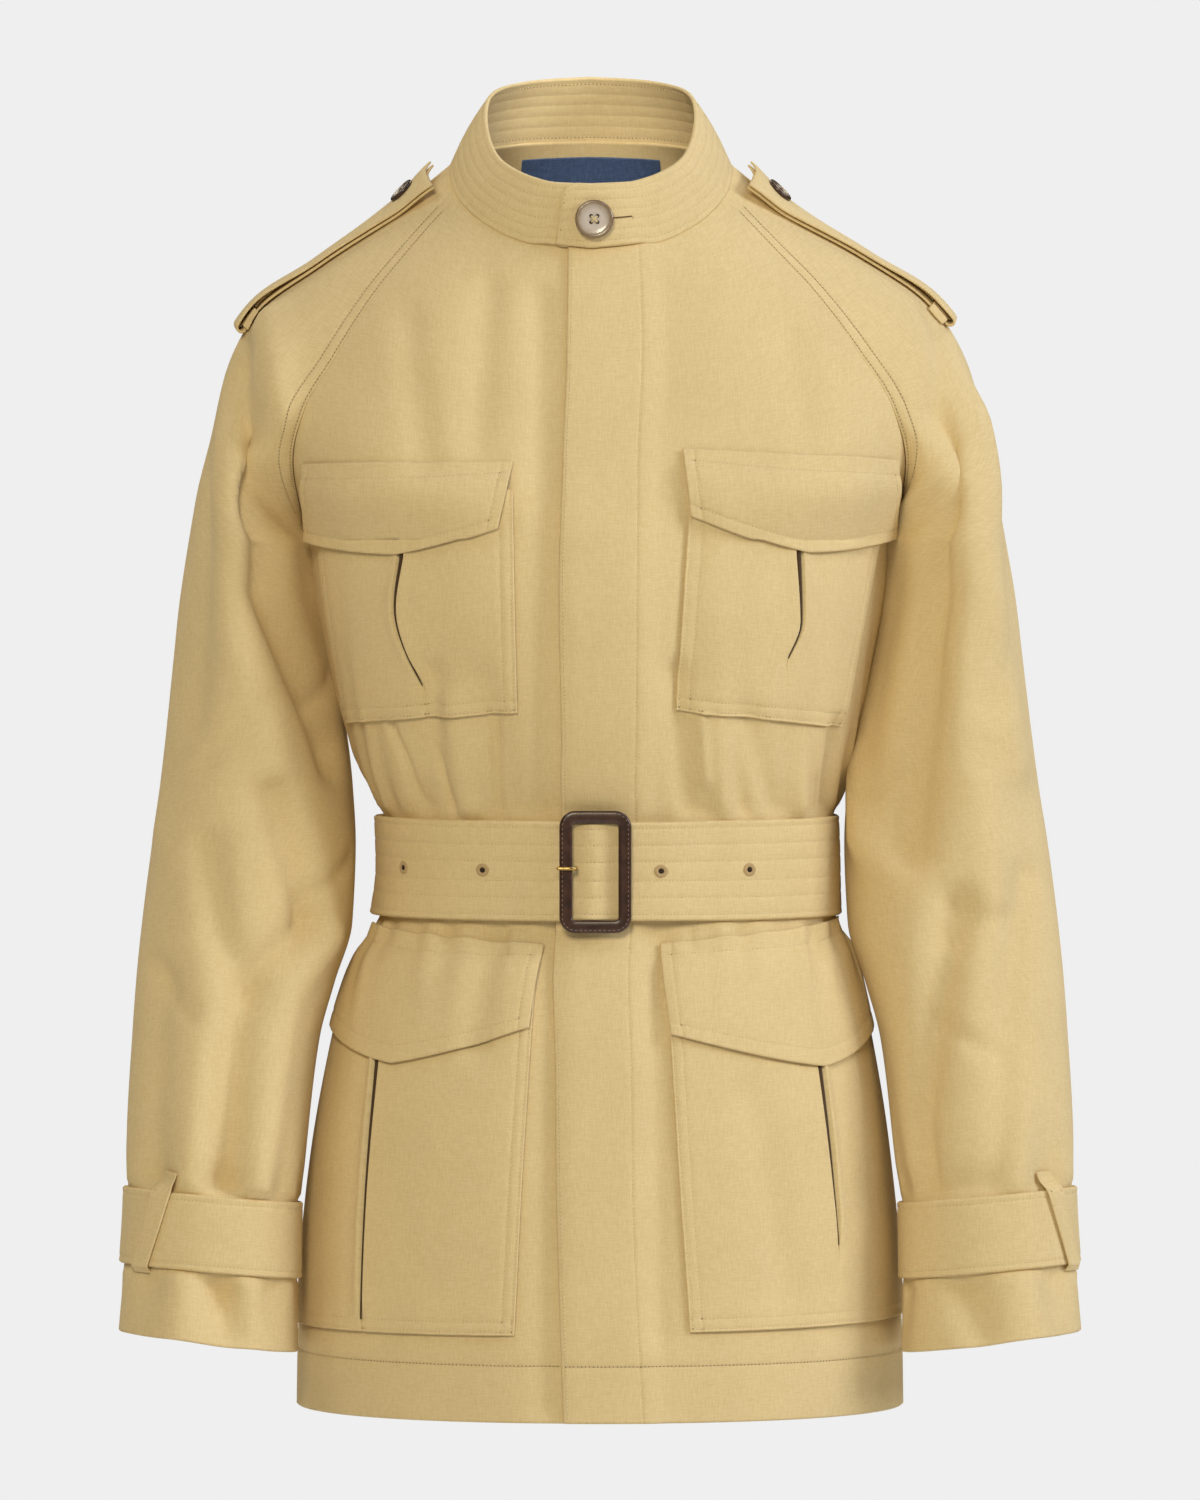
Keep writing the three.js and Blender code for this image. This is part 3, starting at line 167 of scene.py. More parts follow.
# and the sleeve's rings
ARM = table(
    "drop innerX innerY outerX innerZ outerZ midY front back",
    (160, 166, 5, 229, -190, -190, 5, 76, 76), (196, 160, 40, 235, -226, -226, 3, 70, 70),
    (230, 152, 48, 239, -260, -260, 1, 66, 66), (264, 145, 44, 243, -294, -294, -1, 64, 62),
    (303, 140, 27, 248, -333, -332, -3, 60, 58), (335, 138, 8, 253, -366, -364, -7, 59, 57),
    (376, 139.5, -12, 258, -408, -404, -14, 58, 56), (408, 149.2, -22, 261, -441, -435, -22, 57, 55),
    (439, 157.5, -30, 263, -472, -465, -30, 56, 54), (507, 166, -44, 266, -541, -532, -44, 54, 51),
    (531, 169.5, -47, 265, -564, -555, -47, 50, 47), (573, 170, -51, 267, -605, -596, -51, 49, 46),
    (612, 169, -56, 270, -646, -634, -56, 52, 48))
BODY_SPREAD = BODY_ROUND = 0.6
ARM_ROUND = 4 / 3
FOREARM_LEAN = 2.5


def split_tracks(upper, lower):
    """Curves of every column, over the yoke's levels and over those below the armpit."""
    pairs = {}
    for name in lower:
        if name != "drop":
            above = track(np.append(upper["drop"], lower["drop"][0]), np.append(upper[name], lower[name][0]))
            pairs[name] = (above, track(lower["drop"], lower[name]))
    return lambda drop: {n: np.where(drop < ARMPIT_DROP, a(drop), b(drop)) for n, (a, b) in pairs.items()}


level = NECK_Z - TORSO["drop"]
body_at = split_tracks(
    {**YOKE, "rearReach": YOKE["reach"]},
    {"drop": TORSO["drop"], "frontY": TORSO["frontY"], "backY": TORSO["backY"], "backZ": level,
     "seamX": TORSO["half"], "seamY": 0 * level + SIDE_Y, "seamZ": level,
     "rearX": TORSO["half"], "rearY": 0 * level + SIDE_Y, "rearZ": level, "turn": 0 * level + 90,
     "reach": BODY_ROUND * (SIDE_Y - TORSO["frontY"]), "rearReach": BODY_ROUND * (TORSO["backY"] - SIDE_Y)})
shift = ARM["innerY"] - ARM["midY"]
arm_at = split_tracks(
    {**{n: YOKE[n] for n in "drop seamX seamY seamZ rearX rearY rearZ outX outY outZ".split()},
     "turn": YOKE["armTurn"], "reach": YOKE["armReach"], "rearReach": YOKE["armReach"],
     "outFront": YOKE["outReach"], "outBack": YOKE["outReach"]},
    {"drop": ARM["drop"], "seamX": ARM["innerX"], "seamY": ARM["innerY"], "seamZ": ARM["innerZ"],
     "rearX": ARM["innerX"], "rearY": ARM["innerY"], "rearZ": ARM["innerZ"], "turn": 0 * shift - 90,
     "reach": ARM_ROUND * (ARM["front"] + shift), "rearReach": ARM_ROUND * (ARM["back"] - shift),
     "outX": ARM["outerX"], "outY": ARM["midY"], "outZ": ARM["outerZ"],
     "outFront": ARM_ROUND * ARM["front"], "outBack": ARM_ROUND * ARM["back"]})


def front_controls(drop):
    r = body_at(drop)
    a, z = np.radians(r["turn"]), NECK_Z - drop
    return np.stack([
        stack(0, r["frontY"], z), stack(BODY_SPREAD * r["seamX"], r["frontY"], z),
        stack(r["seamX"] - r["reach"] * np.cos(a), r["seamY"] - r["reach"] * np.sin(a), mix(r["seamZ"], z, 0.3)),
        stack(r["seamX"], r["seamY"], r["seamZ"])], axis=1)


def back_controls(drop):
    r = body_at(drop)
    a = np.radians(r["turn"])
    return np.stack([
        stack(0, r["backY"], r["backZ"]), stack(BODY_SPREAD * r["rearX"], r["backY"], r["backZ"]),
        stack(r["rearX"] - r["rearReach"] * np.cos(a), r["rearY"] + r["rearReach"] * np.sin(a),
              mix(r["rearZ"], r["backZ"], 0.3)),
        stack(r["rearX"], r["rearY"], r["rearZ"])], axis=1)


def arm_controls(drop, front):
    r = arm_at(drop)
    a, way = np.radians(r["turn"]), 1 if front else -1
    rise = way * math.tan(math.radians(FOREARM_LEAN)) * smooth((drop - 330) / 150)
    x, y, z = (r[("seam" if front else "rear") + axis] for axis in "XYZ")
    reach, out = r["reach" if front else "rearReach"], r["outFront" if front else "outBack"]
    slope = (r["outZ"] - z) * 0.4 * smooth(1 - drop / ARMPIT_DROP)
    return np.stack([
        stack(x, y, z), stack(x + reach * np.cos(a), y + way * reach * np.sin(a), z + rise * reach + slope),
        stack(r["outX"], r["outY"] - way * out, r["outZ"] + rise * out), stack(r["outX"], r["outY"], r["outZ"])],
        axis=1)


ROW_STEPS = 28
NECK_FADE = 55
# How far from a point its surface is felt for the normal: millimetres, and a share of a sleeve's row
BODY_PROBE, SLEEVE_PROBE, SLEEVE_PROBE_DROP = 0.8, 0.006, 5


def bezier(controls, t):
    t = t[..., None]
    a, b, c, d = (controls[..., i, :] for i in range(4))
    return (1 - t) ** 3 * a + 3 * t * (1 - t) ** 2 * b + 3 * t * t * (1 - t) * c + t**3 * d


class Surface:
    """A bare surface read by the distance (or the share) along a row at each drop."""

    def __init__(self, controls, turn, outward, probe, shared):
        self.controls, self.turn, self.outward, self.probe, self.shared = controls, turn, outward, probe, shared
        self.neck_row = self.rows(np.zeros(1))

    def rows(self, drop):
        controls = self.controls(drop)
        points = bezier(controls[:, None], np.linspace(0, 1, ROW_STEPS + 1)[None])
        along = np.cumsum(np.linalg.norm(np.diff(points, axis=1), axis=2), axis=1)
        return controls, np.concatenate([np.zeros((len(drop), 1)), along], axis=1)

    def length(self, drop):
        drop = np.asarray(drop, float)
        kinds, which = np.unique(np.round(drop.ravel(), 3), return_inverse=True)
        return self.rows(kinds)[1][:, -1][which].reshape(drop.shape)

    def on_row(self, rows, which, distance):
        controls, along = rows[0][which], rows[1][which]
        g = np.clip(distance, 0, along[:, -1])
        i = np.clip((along[:, 1:] < g[:, None]).sum(axis=1), 0, ROW_STEPS - 1)
        pick = np.arange(len(i))
        t = (i + (g - along[pick, i]) / (along[pick, i + 1] - along[pick, i])) / ROW_STEPS
        return bezier(controls, t)

    def bare(self, across, drop):
        across, drop = np.broadcast_arrays(np.asarray(across, float), np.asarray(drop, float))
        a, d = across.ravel(), drop.ravel()
        kinds, which = np.unique(np.round(d, 3), return_inverse=True)
        rows = self.rows(kinds)
        length = rows[1][:, -1][which]
        share = a if self.shared else np.abs(a) / length
        points = self.on_row(rows, which, share * length)
        fade = np.clip(1 - d / NECK_FADE, 0, 1) ** 2
        near = fade > 0
        if near.any():
            none = np.zeros(near.sum(), int)
            seam = self.on_row(self.neck_row, none, share[near] * self.neck_row[1][0, -1])
            neck = ring_point(NECK, seam_height, self.turn(share[near]))
            points[near] += (neck - seam) * fade[near][:, None]
        if not self.shared:
            points[:, 0] *= np.where(a < 0, -1, 1)
        return points.reshape(*across.shape, 3)

    def lifted(self, across, drop, lift):
        """The point at a lift off the bare surface, along its outward normal."""
        across, drop, lift = np.broadcast_arrays(*(np.asarray(v, float) for v in (across, drop, lift)))
        p = self.probe
        low, high = (p, 1 - p) if self.shared else (-1e9, self.length(drop) - p)
        near = np.clip(across, low, high)
        du = self.bare(near + p, drop) - self.bare(near - p, drop)
        step = SLEEVE_PROBE_DROP if self.shared else BODY_PROBE
        dv = self.bare(near, drop + step) - self.bare(near, np.maximum(drop - step, 0))
        return self.bare(across, drop) + self.outward * lift[..., None] * unit(np.cross(dv, du))


front = Surface(front_controls, lambda s: FRONT_TURN * s, 1, BODY_PROBE, False)
back = Surface(back_controls, lambda s: 180 - (180 - BACK_TURN) * s, -1, BODY_PROBE, False)
sleeve_front = Surface(lambda d: arm_controls(d, True), lambda s: mix(FRONT_TURN, 90, s), 1, SLEEVE_PROBE, True)
sleeve_back = Surface(lambda d: arm_controls(d, False), lambda s: mix(BACK_TURN, 90, s), -1, SLEEVE_PROBE, True)

# The jacket leans a little to one side at the neck, and its waist to the other
LEAN = table(
    "z neck waist",
    (-700, 0, 0), (-560, 0, 0), (-500, 0, 0.6), (-440, 0, 1.6), (-405, 0, 4.4), (-377, 0, 6), (-347, 0, 5),
    (-320, 0, 2), (-290, 0, 1), (-190, 0, 0), (-110, -1.2, 0), (-50, -3.5, 0), (0, -5.2, 0), (80, -5.2, 0))
neck_lean, waist_lean = track(LEAN["z"], LEAN["neck"]), track(LEAN["z"], LEAN["waist"])
SHOULDER_RISE = 3.6


def place(side, p, arm=False):
    x = side * p[..., 0] + neck_lean(p[..., 2]) + (0 if arm else waist_lean(p[..., 2]))
    rise = SHOULDER_RISE * smooth((x - 90) / 70) * smooth((p[..., 2] + 175) / 105)
    return stack(x, p[..., 1], p[..., 2] + rise)


CLOSING = table(
    "drop lap stitch",
    (0, 13, 26.9), (56, 16, 25.5), (120, 19.9, 21.4), (193, 22.4, 20.2), (266, 22, 18.8), (344, 28, 12.8),
    (381, 28.4, 12.9), (451, 25.4, 16.2), (544, 23.3, 18.6), (650, 19.7, 23.8))
lap_at, stitch_at = track(CLOSING["drop"], CLOSING["lap"]), track(CLOSING["drop"], CLOSING["stitch"])


def placket_lift(girth, drop):
    return PLACKET_RISE * (1 - smooth((girth - stitch_at(drop) - 1.5) / 14))


# Folds and gathers

# Each is a soft ridge (depth over 0) or trough: side, width, depth, and the places that it runs
# through. On the fronts and the back a place is a girth in millimetres and a drop.
FRONT_FOLDS = [
    (-1, 9, -3.6, (30, 30), (33, 316)), (-1, 8, -2.6, (29, 380), (29, 640)),
    (-1, 9, -2.8, (66, 240), (52, 318)), (-1, 9, -5.5, (97, 236), (102, 280), (106, 318)),
    (-1, 8, 2.6, (88, 250), (84, 316)), (-1, 9, -3.2, (62, 374), (70, 440)),
    (-1, 10, -2.6, (60, 30), (68, 110)), (-1, 11, -2.4, (108, 60), (98, 120)),
    (-1, 2.8, -3, (130, 264), (120, 286), (117, 306)), (-1, 2.4, -3, (60, 258), (61.7, 315)),
    (-1, 2.4, -3, (97, 284), (91, 315)), (-1, 2.6, -2.4, (95.4, 375), (93, 384)),
    (-1, 2.6, -2.4, (58, 374), (57, 390)), (1, 8, -4.4, (42, 236), (45, 280), (47, 318)),
    (1, 2.6, 2.4, (56, 258), (57.5, 296)), (1, 7, -3.2, (84, 258), (92, 290), (97, 318)),
    (1, 8, -4.8, (151, 268), (143, 318)), (1, 9, 3, (130, 270), (120, 316)),
    (1, 8, -2.6, (30, 374), (32, 600)), (1, 12, -3.8, (84, 470), (108, 580)),
    (1, 11, -2.4, (112, 70), (118, 112)), (1, 11, -2.6, (52, 150), (48, 236)),
    (1, 2.6, -2.6, (136, 296), (136.6, 316)), (1, 2.6, -2.4, (48.5, 375), (48, 388))]
BACK_FOLDS = [
    (1, 12, -4.6, (40, 210), (34, 316)), (1, 12, 4, (92, 236), (76, 316)),
    (-1, 12, 4, (52, 226), (44, 316)), (-1, 12, -4.6, (110, 220), (88, 316)),
    (1, 13, 3.6, (20, 376), (26, 500)), (1, 13, -4.4, (78, 376), (100, 520)),
    (-1, 13, -4.4, (42, 376), (54, 540)), (-1, 13, 3.6, (104, 376), (122, 490)),
    (1, 6, -2.8, (118, 130), (104, 190), (112, 240)), (-1, 6, -2.8, (124, 120), (116, 200)),
    (-1, 4, -2, (24, 262), (30, 315)), (1, 4, -2, (60, 268), (52, 315)),
    (1, 4, -1.8, (112, 280), (106, 315))]
# On the sleeves a place is a share of the way from the seam to the shoulder line, and a drop
SLEEVE_FRONT_FOLDS = [
    (-1, 10, 5.5, (0.6, 82), (0.3, 94), (0.1, 114)), (-1, 13, -10, (0.6, 110), (0.34, 126), (0.16, 146)),
    (-1, 16, -15, (0.3, 136), (0.4, 156), (0.5, 192), (0.4, 234), (0.26, 280)),
    (-1, 12, 7, (0.12, 170), (0.18, 196), (0.1, 250)), (-1, 11, -5, (0.72, 150), (0.76, 262)),
    (-1, 10, 4, (0.62, 222), (0.5, 292)), (-1, 9, -9, (0.5, 304), (0.36, 350), (0.3, 374)),
    (-1, 10, -9, (0.3, 374), (0.42, 402), (0.45, 430), (0.46, 530)),
    (-1, 9, -6.5, (0.66, 334), (0.57, 382), (0.47, 412)),
    (-1, 10, 5, (0.18, 384), (0.29, 412), (0.31, 530)), (-1, 12, -5, (0.74, 410), (0.73, 530)),
    (-1, 9, -5, (0.47, 573), (0.39, 606)), (-1, 12, 4, (0.62, 573), (0.62, 612)),
    (-1, 13, 3, (0.93, 152), (0.87, 326)), (-1, 5, -2.8, (0.55, 250), (0.72, 290)),
    (-1, 5, -2.6, (0.2, 240), (0.36, 262)), (-1, 5, -2.6, (0.62, 430), (0.8, 400)),
    (-1, 5, -3, (0.33, 362), (0.12, 340)), (1, 7, -4, (0.64, 88), (0.4, 106), (0.19, 120)),
    (1, 5, -2.6, (0.05, 144), (0.16, 136)),
    (1, 14, -14, (0.29, 128), (0.4, 150), (0.51, 192), (0.52, 250), (0.48, 290), (0.4, 330)),
    (1, 12, 6, (0.6, 132), (0.75, 218), (0.79, 288)), (1, 13, 8, (0.12, 150), (0.2, 200), (0.22, 330)),
    (1, 10, -9.5, (0.52, 366), (0.36, 430), (0.26, 484), (0.26, 530)),
    (1, 10, -6, (0.76, 352), (0.62, 420), (0.52, 530)), (1, 12, 4, (0.66, 300), (0.62, 364)),
    (1, 5, -3, (0.47, 386), (0.66, 372)), (1, 9, -3, (0.93, 154), (0.71, 252)),
    (1, 5, -2.6, (0.46, 290), (0.26, 306)), (1, 5, -2.6, (0.37, 430), (0.55, 452)),
    (1, 9, -5, (0.36, 573), (0.46, 606)), (1, 12, 4, (0.66, 573), (0.66, 612))]
SLEEVE_BACK_FOLDS = [
    (1, 14, -10, (0.5, 110), (0.32, 170), (0.24, 260)),
    (1, 13, -8, (0.3, 290), (0.42, 360), (0.55, 440), (0.52, 530)), (1, 6, -3, (0.26, 262), (0.42, 300)),
    (1, 6, -3, (0.44, 370), (0.24, 396)), (1, 12, 4, (0.7, 200), (0.62, 340)),
    (1, 12, 4, (0.3, 420), (0.28, 530)), (1, 9, -4.5, (0.5, 573), (0.42, 606)),
    (-1, 14, -10, (0.58, 114), (0.4, 160), (0.3, 280)),
    (-1, 13, -8, (0.24, 300), (0.36, 370), (0.5, 460), (0.5, 530)), (-1, 6, -3, (0.3, 280), (0.5, 300)),
    (-1, 6, -3, (0.36, 372), (0.2, 400)), (-1, 12, 4, (0.72, 210), (0.68, 350)),
    (-1, 12, 4, (0.26, 430), (0.24, 530)), (-1, 9, -4.5, (0.46, 573), (0.5, 606))]
EDGE_CALM = 9


def calm(distance):
    """Folds die out near a seam, so that the edges still meet."""
    return smooth(distance / EDGE_CALM)


def fold_lift(folds, side, across, drop, scale=1.0):
    """The height of all soft ridges and troughs together."""
    total = np.zeros(np.broadcast(side, across, drop).shape)
    for on_side, width, depth, *places in folds:
        nearest = np.inf
        for (across0, drop0), (across1, drop1) in zip(places, places[1:]):
            dx, dz = (across1 - across0) * scale, drop1 - drop0
            px, pz = (across - across0) * scale, drop - drop0
            t = np.clip((px * dx + pz * dz) / (dx * dx + dz * dz), 0, 1)
            nearest = np.minimum(nearest, (px - t * dx) ** 2 + (pz - t * dz) ** 2)
        total = total + np.where(side == on_side, depth * np.exp(-nearest / width**2), 0)
    return total


def off_belt(drop):
    """0 under the belt, which holds the cloth flat, and 1 away from it."""
    return smooth(np.maximum(WAIST_TOP - drop, drop - WAIST_BOTTOM) / 8)


def off_strap(drop):
    """The same for the cuff straps."""
    return smooth(np.maximum(STRAP_TOP - drop, drop - STRAP_BOTTOM) / 8)


def waist_gathers(girth, drop, phase, below):
    """The fullness that the belt draws together, dying out above and below it."""
    up, down = WAIST_TOP - drop, drop - WAIST_BOTTOM
    uneven = 1 + 0.4 * np.sin(0.11 * girth + 2 * phase)
    away, reach = np.where(up > 0, up, down), np.where(up > 0, 32, below) * uneven
    fade = np.exp(-np.maximum(away, 0) / reach) * smooth((np.abs(girth) - 42) / 24)
    return 2.6 * uneven * fade * np.sin(2 * np.pi * 0.046 * girth + 1.5 * np.sin(0.031 * girth) + phase)


def cuff_gathers(share, drop, side, is_front):
    """The same where each cuff strap draws the sleeve in."""
    up, down = STRAP_TOP - drop, drop - STRAP_BOTTOM
    uneven = 1 + 0.4 * np.sin(8.7 * share + 2.3 * side)
    away, reach = np.where(up > 0, up, down), np.where(up > 0, 34, 24) * uneven
    fade = smooth(away / 7) * np.exp(-np.maximum(away, 0) / reach)
    phase = 0.9 * side + (0 if is_front else 2.1)
    return 4.6 * uneven * fade * np.sin(2 * np.pi * 3.8 * share + 1.3 * np.sin(4.2 * share + side) + phase)


def front_point(side, girth, drop, lift=0.0):
    girth, drop = np.asarray(girth, float), np.asarray(drop, float)
    under, g = side * np.where(girth < 0, -1, 1), np.abs(girth)
    edge = calm(front.length(drop) - g)
    relief = fold_lift(FRONT_FOLDS, under, g, drop) + waist_gathers(under * g, drop, 0, 17)
    relief = relief * edge * calm(drop) * off_belt(drop)
    return place(side, front.lifted(girth, drop, lift + relief))


def back_point(girth, drop, lift=0.0):
    girth, drop = np.asarray(girth, float), np.asarray(drop, float)
    side, g = np.where(girth < 0, -1, 1), np.abs(girth)
    edge = calm(back.length(drop) - g) * calm(drop)
    relief = fold_lift(BACK_FOLDS, side, g, drop) + waist_gathers(girth, drop, 1.4, 34)
    relief = relief * edge * off_belt(drop)
    return place(side, back.lifted(g, drop, lift + relief))


def sleeve_point(side, is_front, share, drop, lift=0.0, gathered=True):
    surface, folds = (sleeve_front, SLEEVE_FRONT_FOLDS) if is_front else (sleeve_back, SLEEVE_BACK_FOLDS)
    share, drop = np.broadcast_arrays(np.asarray(share, float), np.asarray(drop, float))
    length = surface.length(drop)
    relief = fold_lift(folds, side, share, drop, length) * off_strap(drop)
    if gathered:
        relief = relief + cuff_gathers(share, drop, side, is_front)
    relief = relief * calm(share * length) * calm((1 - share) * length) * calm(drop)
    return place(side, surface.lifted(share, drop, lift + relief), arm=True)


# Meshes

def build_mesh(name, points, faces, uv=None):
    """A smooth mesh from points in millimetres and quads (or triangles, whose last corner repeats)."""
    mesh = bpy.data.meshes.new(name)
    faces = np.asarray(faces, np.int32)
    triangle = faces[:, 3] == faces[:, 2]
    totals = np.where(triangle, 3, 4)
    keep = np.ones(faces.shape, bool)
    keep[triangle, 3] = False
    corners = faces[keep]
    mesh.vertices.add(len(points))
    mesh.vertices.foreach_set("co", (np.asarray(points, float) * MM).ravel())
    mesh.loops.add(len(corners))
    mesh.loops.foreach_set("vertex_index", corners)
    mesh.polygons.add(len(faces))
    mesh.polygons.foreach_set("loop_start", np.concatenate([[0], np.cumsum(totals)[:-1]]).astype(np.int32))
    mesh.polygons.foreach_set("use_smooth", np.ones(len(faces), bool))
    if uv is not None:
        layer = mesh.uv_layers.new(name="cut")
        layer.data.foreach_set("uv", (np.asarray(uv, float)[keep] * MM).ravel())
    mesh.update(calc_edges=True)
    mesh.validate()
    thing = bpy.data.objects.new(name, mesh)
    bpy.context.scene.collection.objects.link(thing)
    return thing


def outward(points, faces):
    """The faces turned so that the closed mesh holds a positive volume."""
    a, b, c, d = (points[faces[:, i]] for i in range(4))
    volume = np.einsum("ij,ij->i", a, np.cross(b, c)).sum() + np.einsum("ij,ij->i", a, np.cross(c, d)).sum()
    return faces if volume > 0 else faces[:, ::-1]


def joined(parts):
    points, faces, base = [], [], 0
    for p, f in parts:
        points.append(p)
        faces.append(np.asarray(f) + base)
        base += len(p)
    return np.concatenate(points), np.concatenate(faces)


RIM_ROUND = 0.42          # how far a cut edge bulges, as a share of the cloth's thickness


def grid_faces(rows, around, closed=False):
    """Quads between rings of points, and from the last ring to the first where they close."""
    i, k = np.meshgrid(np.arange(rows if closed else rows - 1), np.arange(around), indexing="ij")
    at = lambda a, b: a % rows * around + b % around
    return np.stack([at(i, k), at(i, k + 1), at(i + 1, k + 1), at(i + 1, k)], axis=-1).reshape(-1, 4)


def capped_faces(rows, around):
    """The same with both ends closed by triangles to two middle points, which follow the rings."""
    k = np.arange(around)
    turned, hub, last = (k + 1) % around, rows * around + 0 * k, (rows - 1) * around
    return np.concatenate([grid_faces(rows, around), np.stack([turned, k, hub, hub], 1),
                           np.stack([last + k, last + turned, hub + 1, hub + 1], 1)])


def closed_solid(points, faces):
    return points, outward(points, faces)


def shell_faces(outer, inner, coords, loop=False):
    """Points, quads and cut coordinates of a wall between two grids, with a rounded rim."""
    rows, columns = outer.shape[:2]
    spans = columns if loop else columns - 1
    r, c = np.meshgrid(np.arange(rows - 1), np.arange(spans), indexing="ij")
    r, c = r.ravel(), c.ravel()
    index = lambda layer, rr, cc: layer * rows * columns + rr * columns + cc % columns
    quads = [np.stack([index(0, r, c), index(0, r + 1, c), index(0, r + 1, c + 1), index(0, r, c + 1)], 1),
             np.stack([index(1, r, c), index(1, r, c + 1), index(1, r + 1, c + 1), index(1, r + 1, c)], 1)]
    places = [[(r, c), (r + 1, c), (r + 1, c + 1), (r, c + 1)], [(r, c), (r, c + 1), (r + 1, c + 1), (r + 1, c)]]
    uv = [np.stack([coords[a, b] for a, b in corners], 1) for corners in places]
    points = [outer.reshape(-1, 3), inner.reshape(-1, 3)]
    base = 2 * rows * columns

    def rim(edge, before, closed):
        """A rounded strip along one edge: edge and before are lists of row and column places."""
        nonlocal base
        e, b = (np.array(v) for v in (edge, before))
        ec, bc = (e[:, 0], e[:, 1] % columns), (b[:, 0], b[:, 1] % columns)
        way = unit(outer[ec] - outer[bc] + inner[ec] - inner[bc])
        thick = np.linalg.norm(outer[ec] - inner[ec], axis=1, keepdims=True)
        points.append((outer[ec] + inner[ec]) / 2 + RIM_ROUND * thick * way)
        count = len(e)
        i = np.arange(count if closed else count - 1)
        j = (i + 1) % count
        o, n = index(0, e[:, 0], e[:, 1]), index(1, e[:, 0], e[:, 1])
        quads.append(np.stack([o[i], base + i, base + j, o[j]], 1))
        quads.append(np.stack([base + i, n[i], n[j], base + j], 1))
        at = coords[e[:, 0], e[:, 1]]
        uv.extend([np.stack([at[i], at[i], at[j], at[j]], 1)] * 2)
        base += count

    if loop:
        turn = np.arange(columns)
        rim([(rows - 1, k) for k in turn], [(rows - 2, k) for k in turn], True)
        rim([(0, k) for k in turn[::-1]], [(1, k) for k in turn[::-1]], True)
    else:
        ring = ([(k, 0) for k in range(rows)] + [(rows - 1, k) for k in range(1, columns)]
                + [(k, columns - 1) for k in range(rows - 2, -1, -1)] + [(0, k) for k in range(columns - 2, 0, -1)])
        inside = [(min(max(a, 1), rows - 2), min(max(b, 1), columns - 2)) for a, b in ring]
        rim(ring, inside, True)
    return np.concatenate(points), np.concatenate(quads), np.concatenate(uv)


def piece(name, outer, inner, coords, slot, finish, nodes=(), loop=False):
    points, quads, uv = shell_faces(outer, inner, coords, loop)
    turned = outward(points, quads)
    thing = build_mesh(name, points, turned, uv if turned is quads else uv[:, ::-1])
    return dress(thing, slot, finish, nodes)


def dress(thing, slot, finish, nodes=()):
    thing.data.materials.append(finish)
    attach(thing, "root")
    if nodes:
        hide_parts(*nodes)
    return thing


def lines(start, end, spacing, rows=(), edge=0.7):
    """Grid places from start to end, drawn closer at the edges and beside each sewn row."""
    fixed = [start, start + edge, end - edge, end]
    fixed += [row + step for row in rows for step in (-1.2, -0.45, 0, 0.45, 1.2)]
    fixed = np.array(sorted(v for v in fixed if start <= v <= end))
    plain = np.linspace(start, end, max(2, int(round((end - start) / spacing)) + 1))
    far = np.abs(plain[:, None] - fixed[None]).min(axis=1) > 0.55 * spacing
    return np.unique(np.round(np.concatenate([fixed, plain[far]]), 4))


def with_lines(places, *more):
    return np.unique(np.concatenate([places, more]))


def stretch(values, nominal, length, keep=10.0):
    """Places on a row of another length: near both ends they keep their distance from the end."""
    length = np.asarray(length, float)[..., None]
    k = np.minimum(keep, 0.42 * length)
    v = np.asarray(values, float)
    middle = k + (v - keep) * (length - 2 * k) / (nominal - 2 * keep)
    return np.where(v < keep, v * k / keep, np.where(v > nominal - keep, length - (nominal - v) * k / keep, middle))


def groove(distance):
    return -ROW_DEPTH * np.exp(-((distance / 0.75) ** 2))


# Stitches: each is a small closed bar of thread, sunk at both ends, with a needle hole after it
STITCH = {"pitch": 2.2, "length": 0.68, "wide": 0.34, "high": 0.26, "hole": 0.38}
sewn, pierced = {}, []


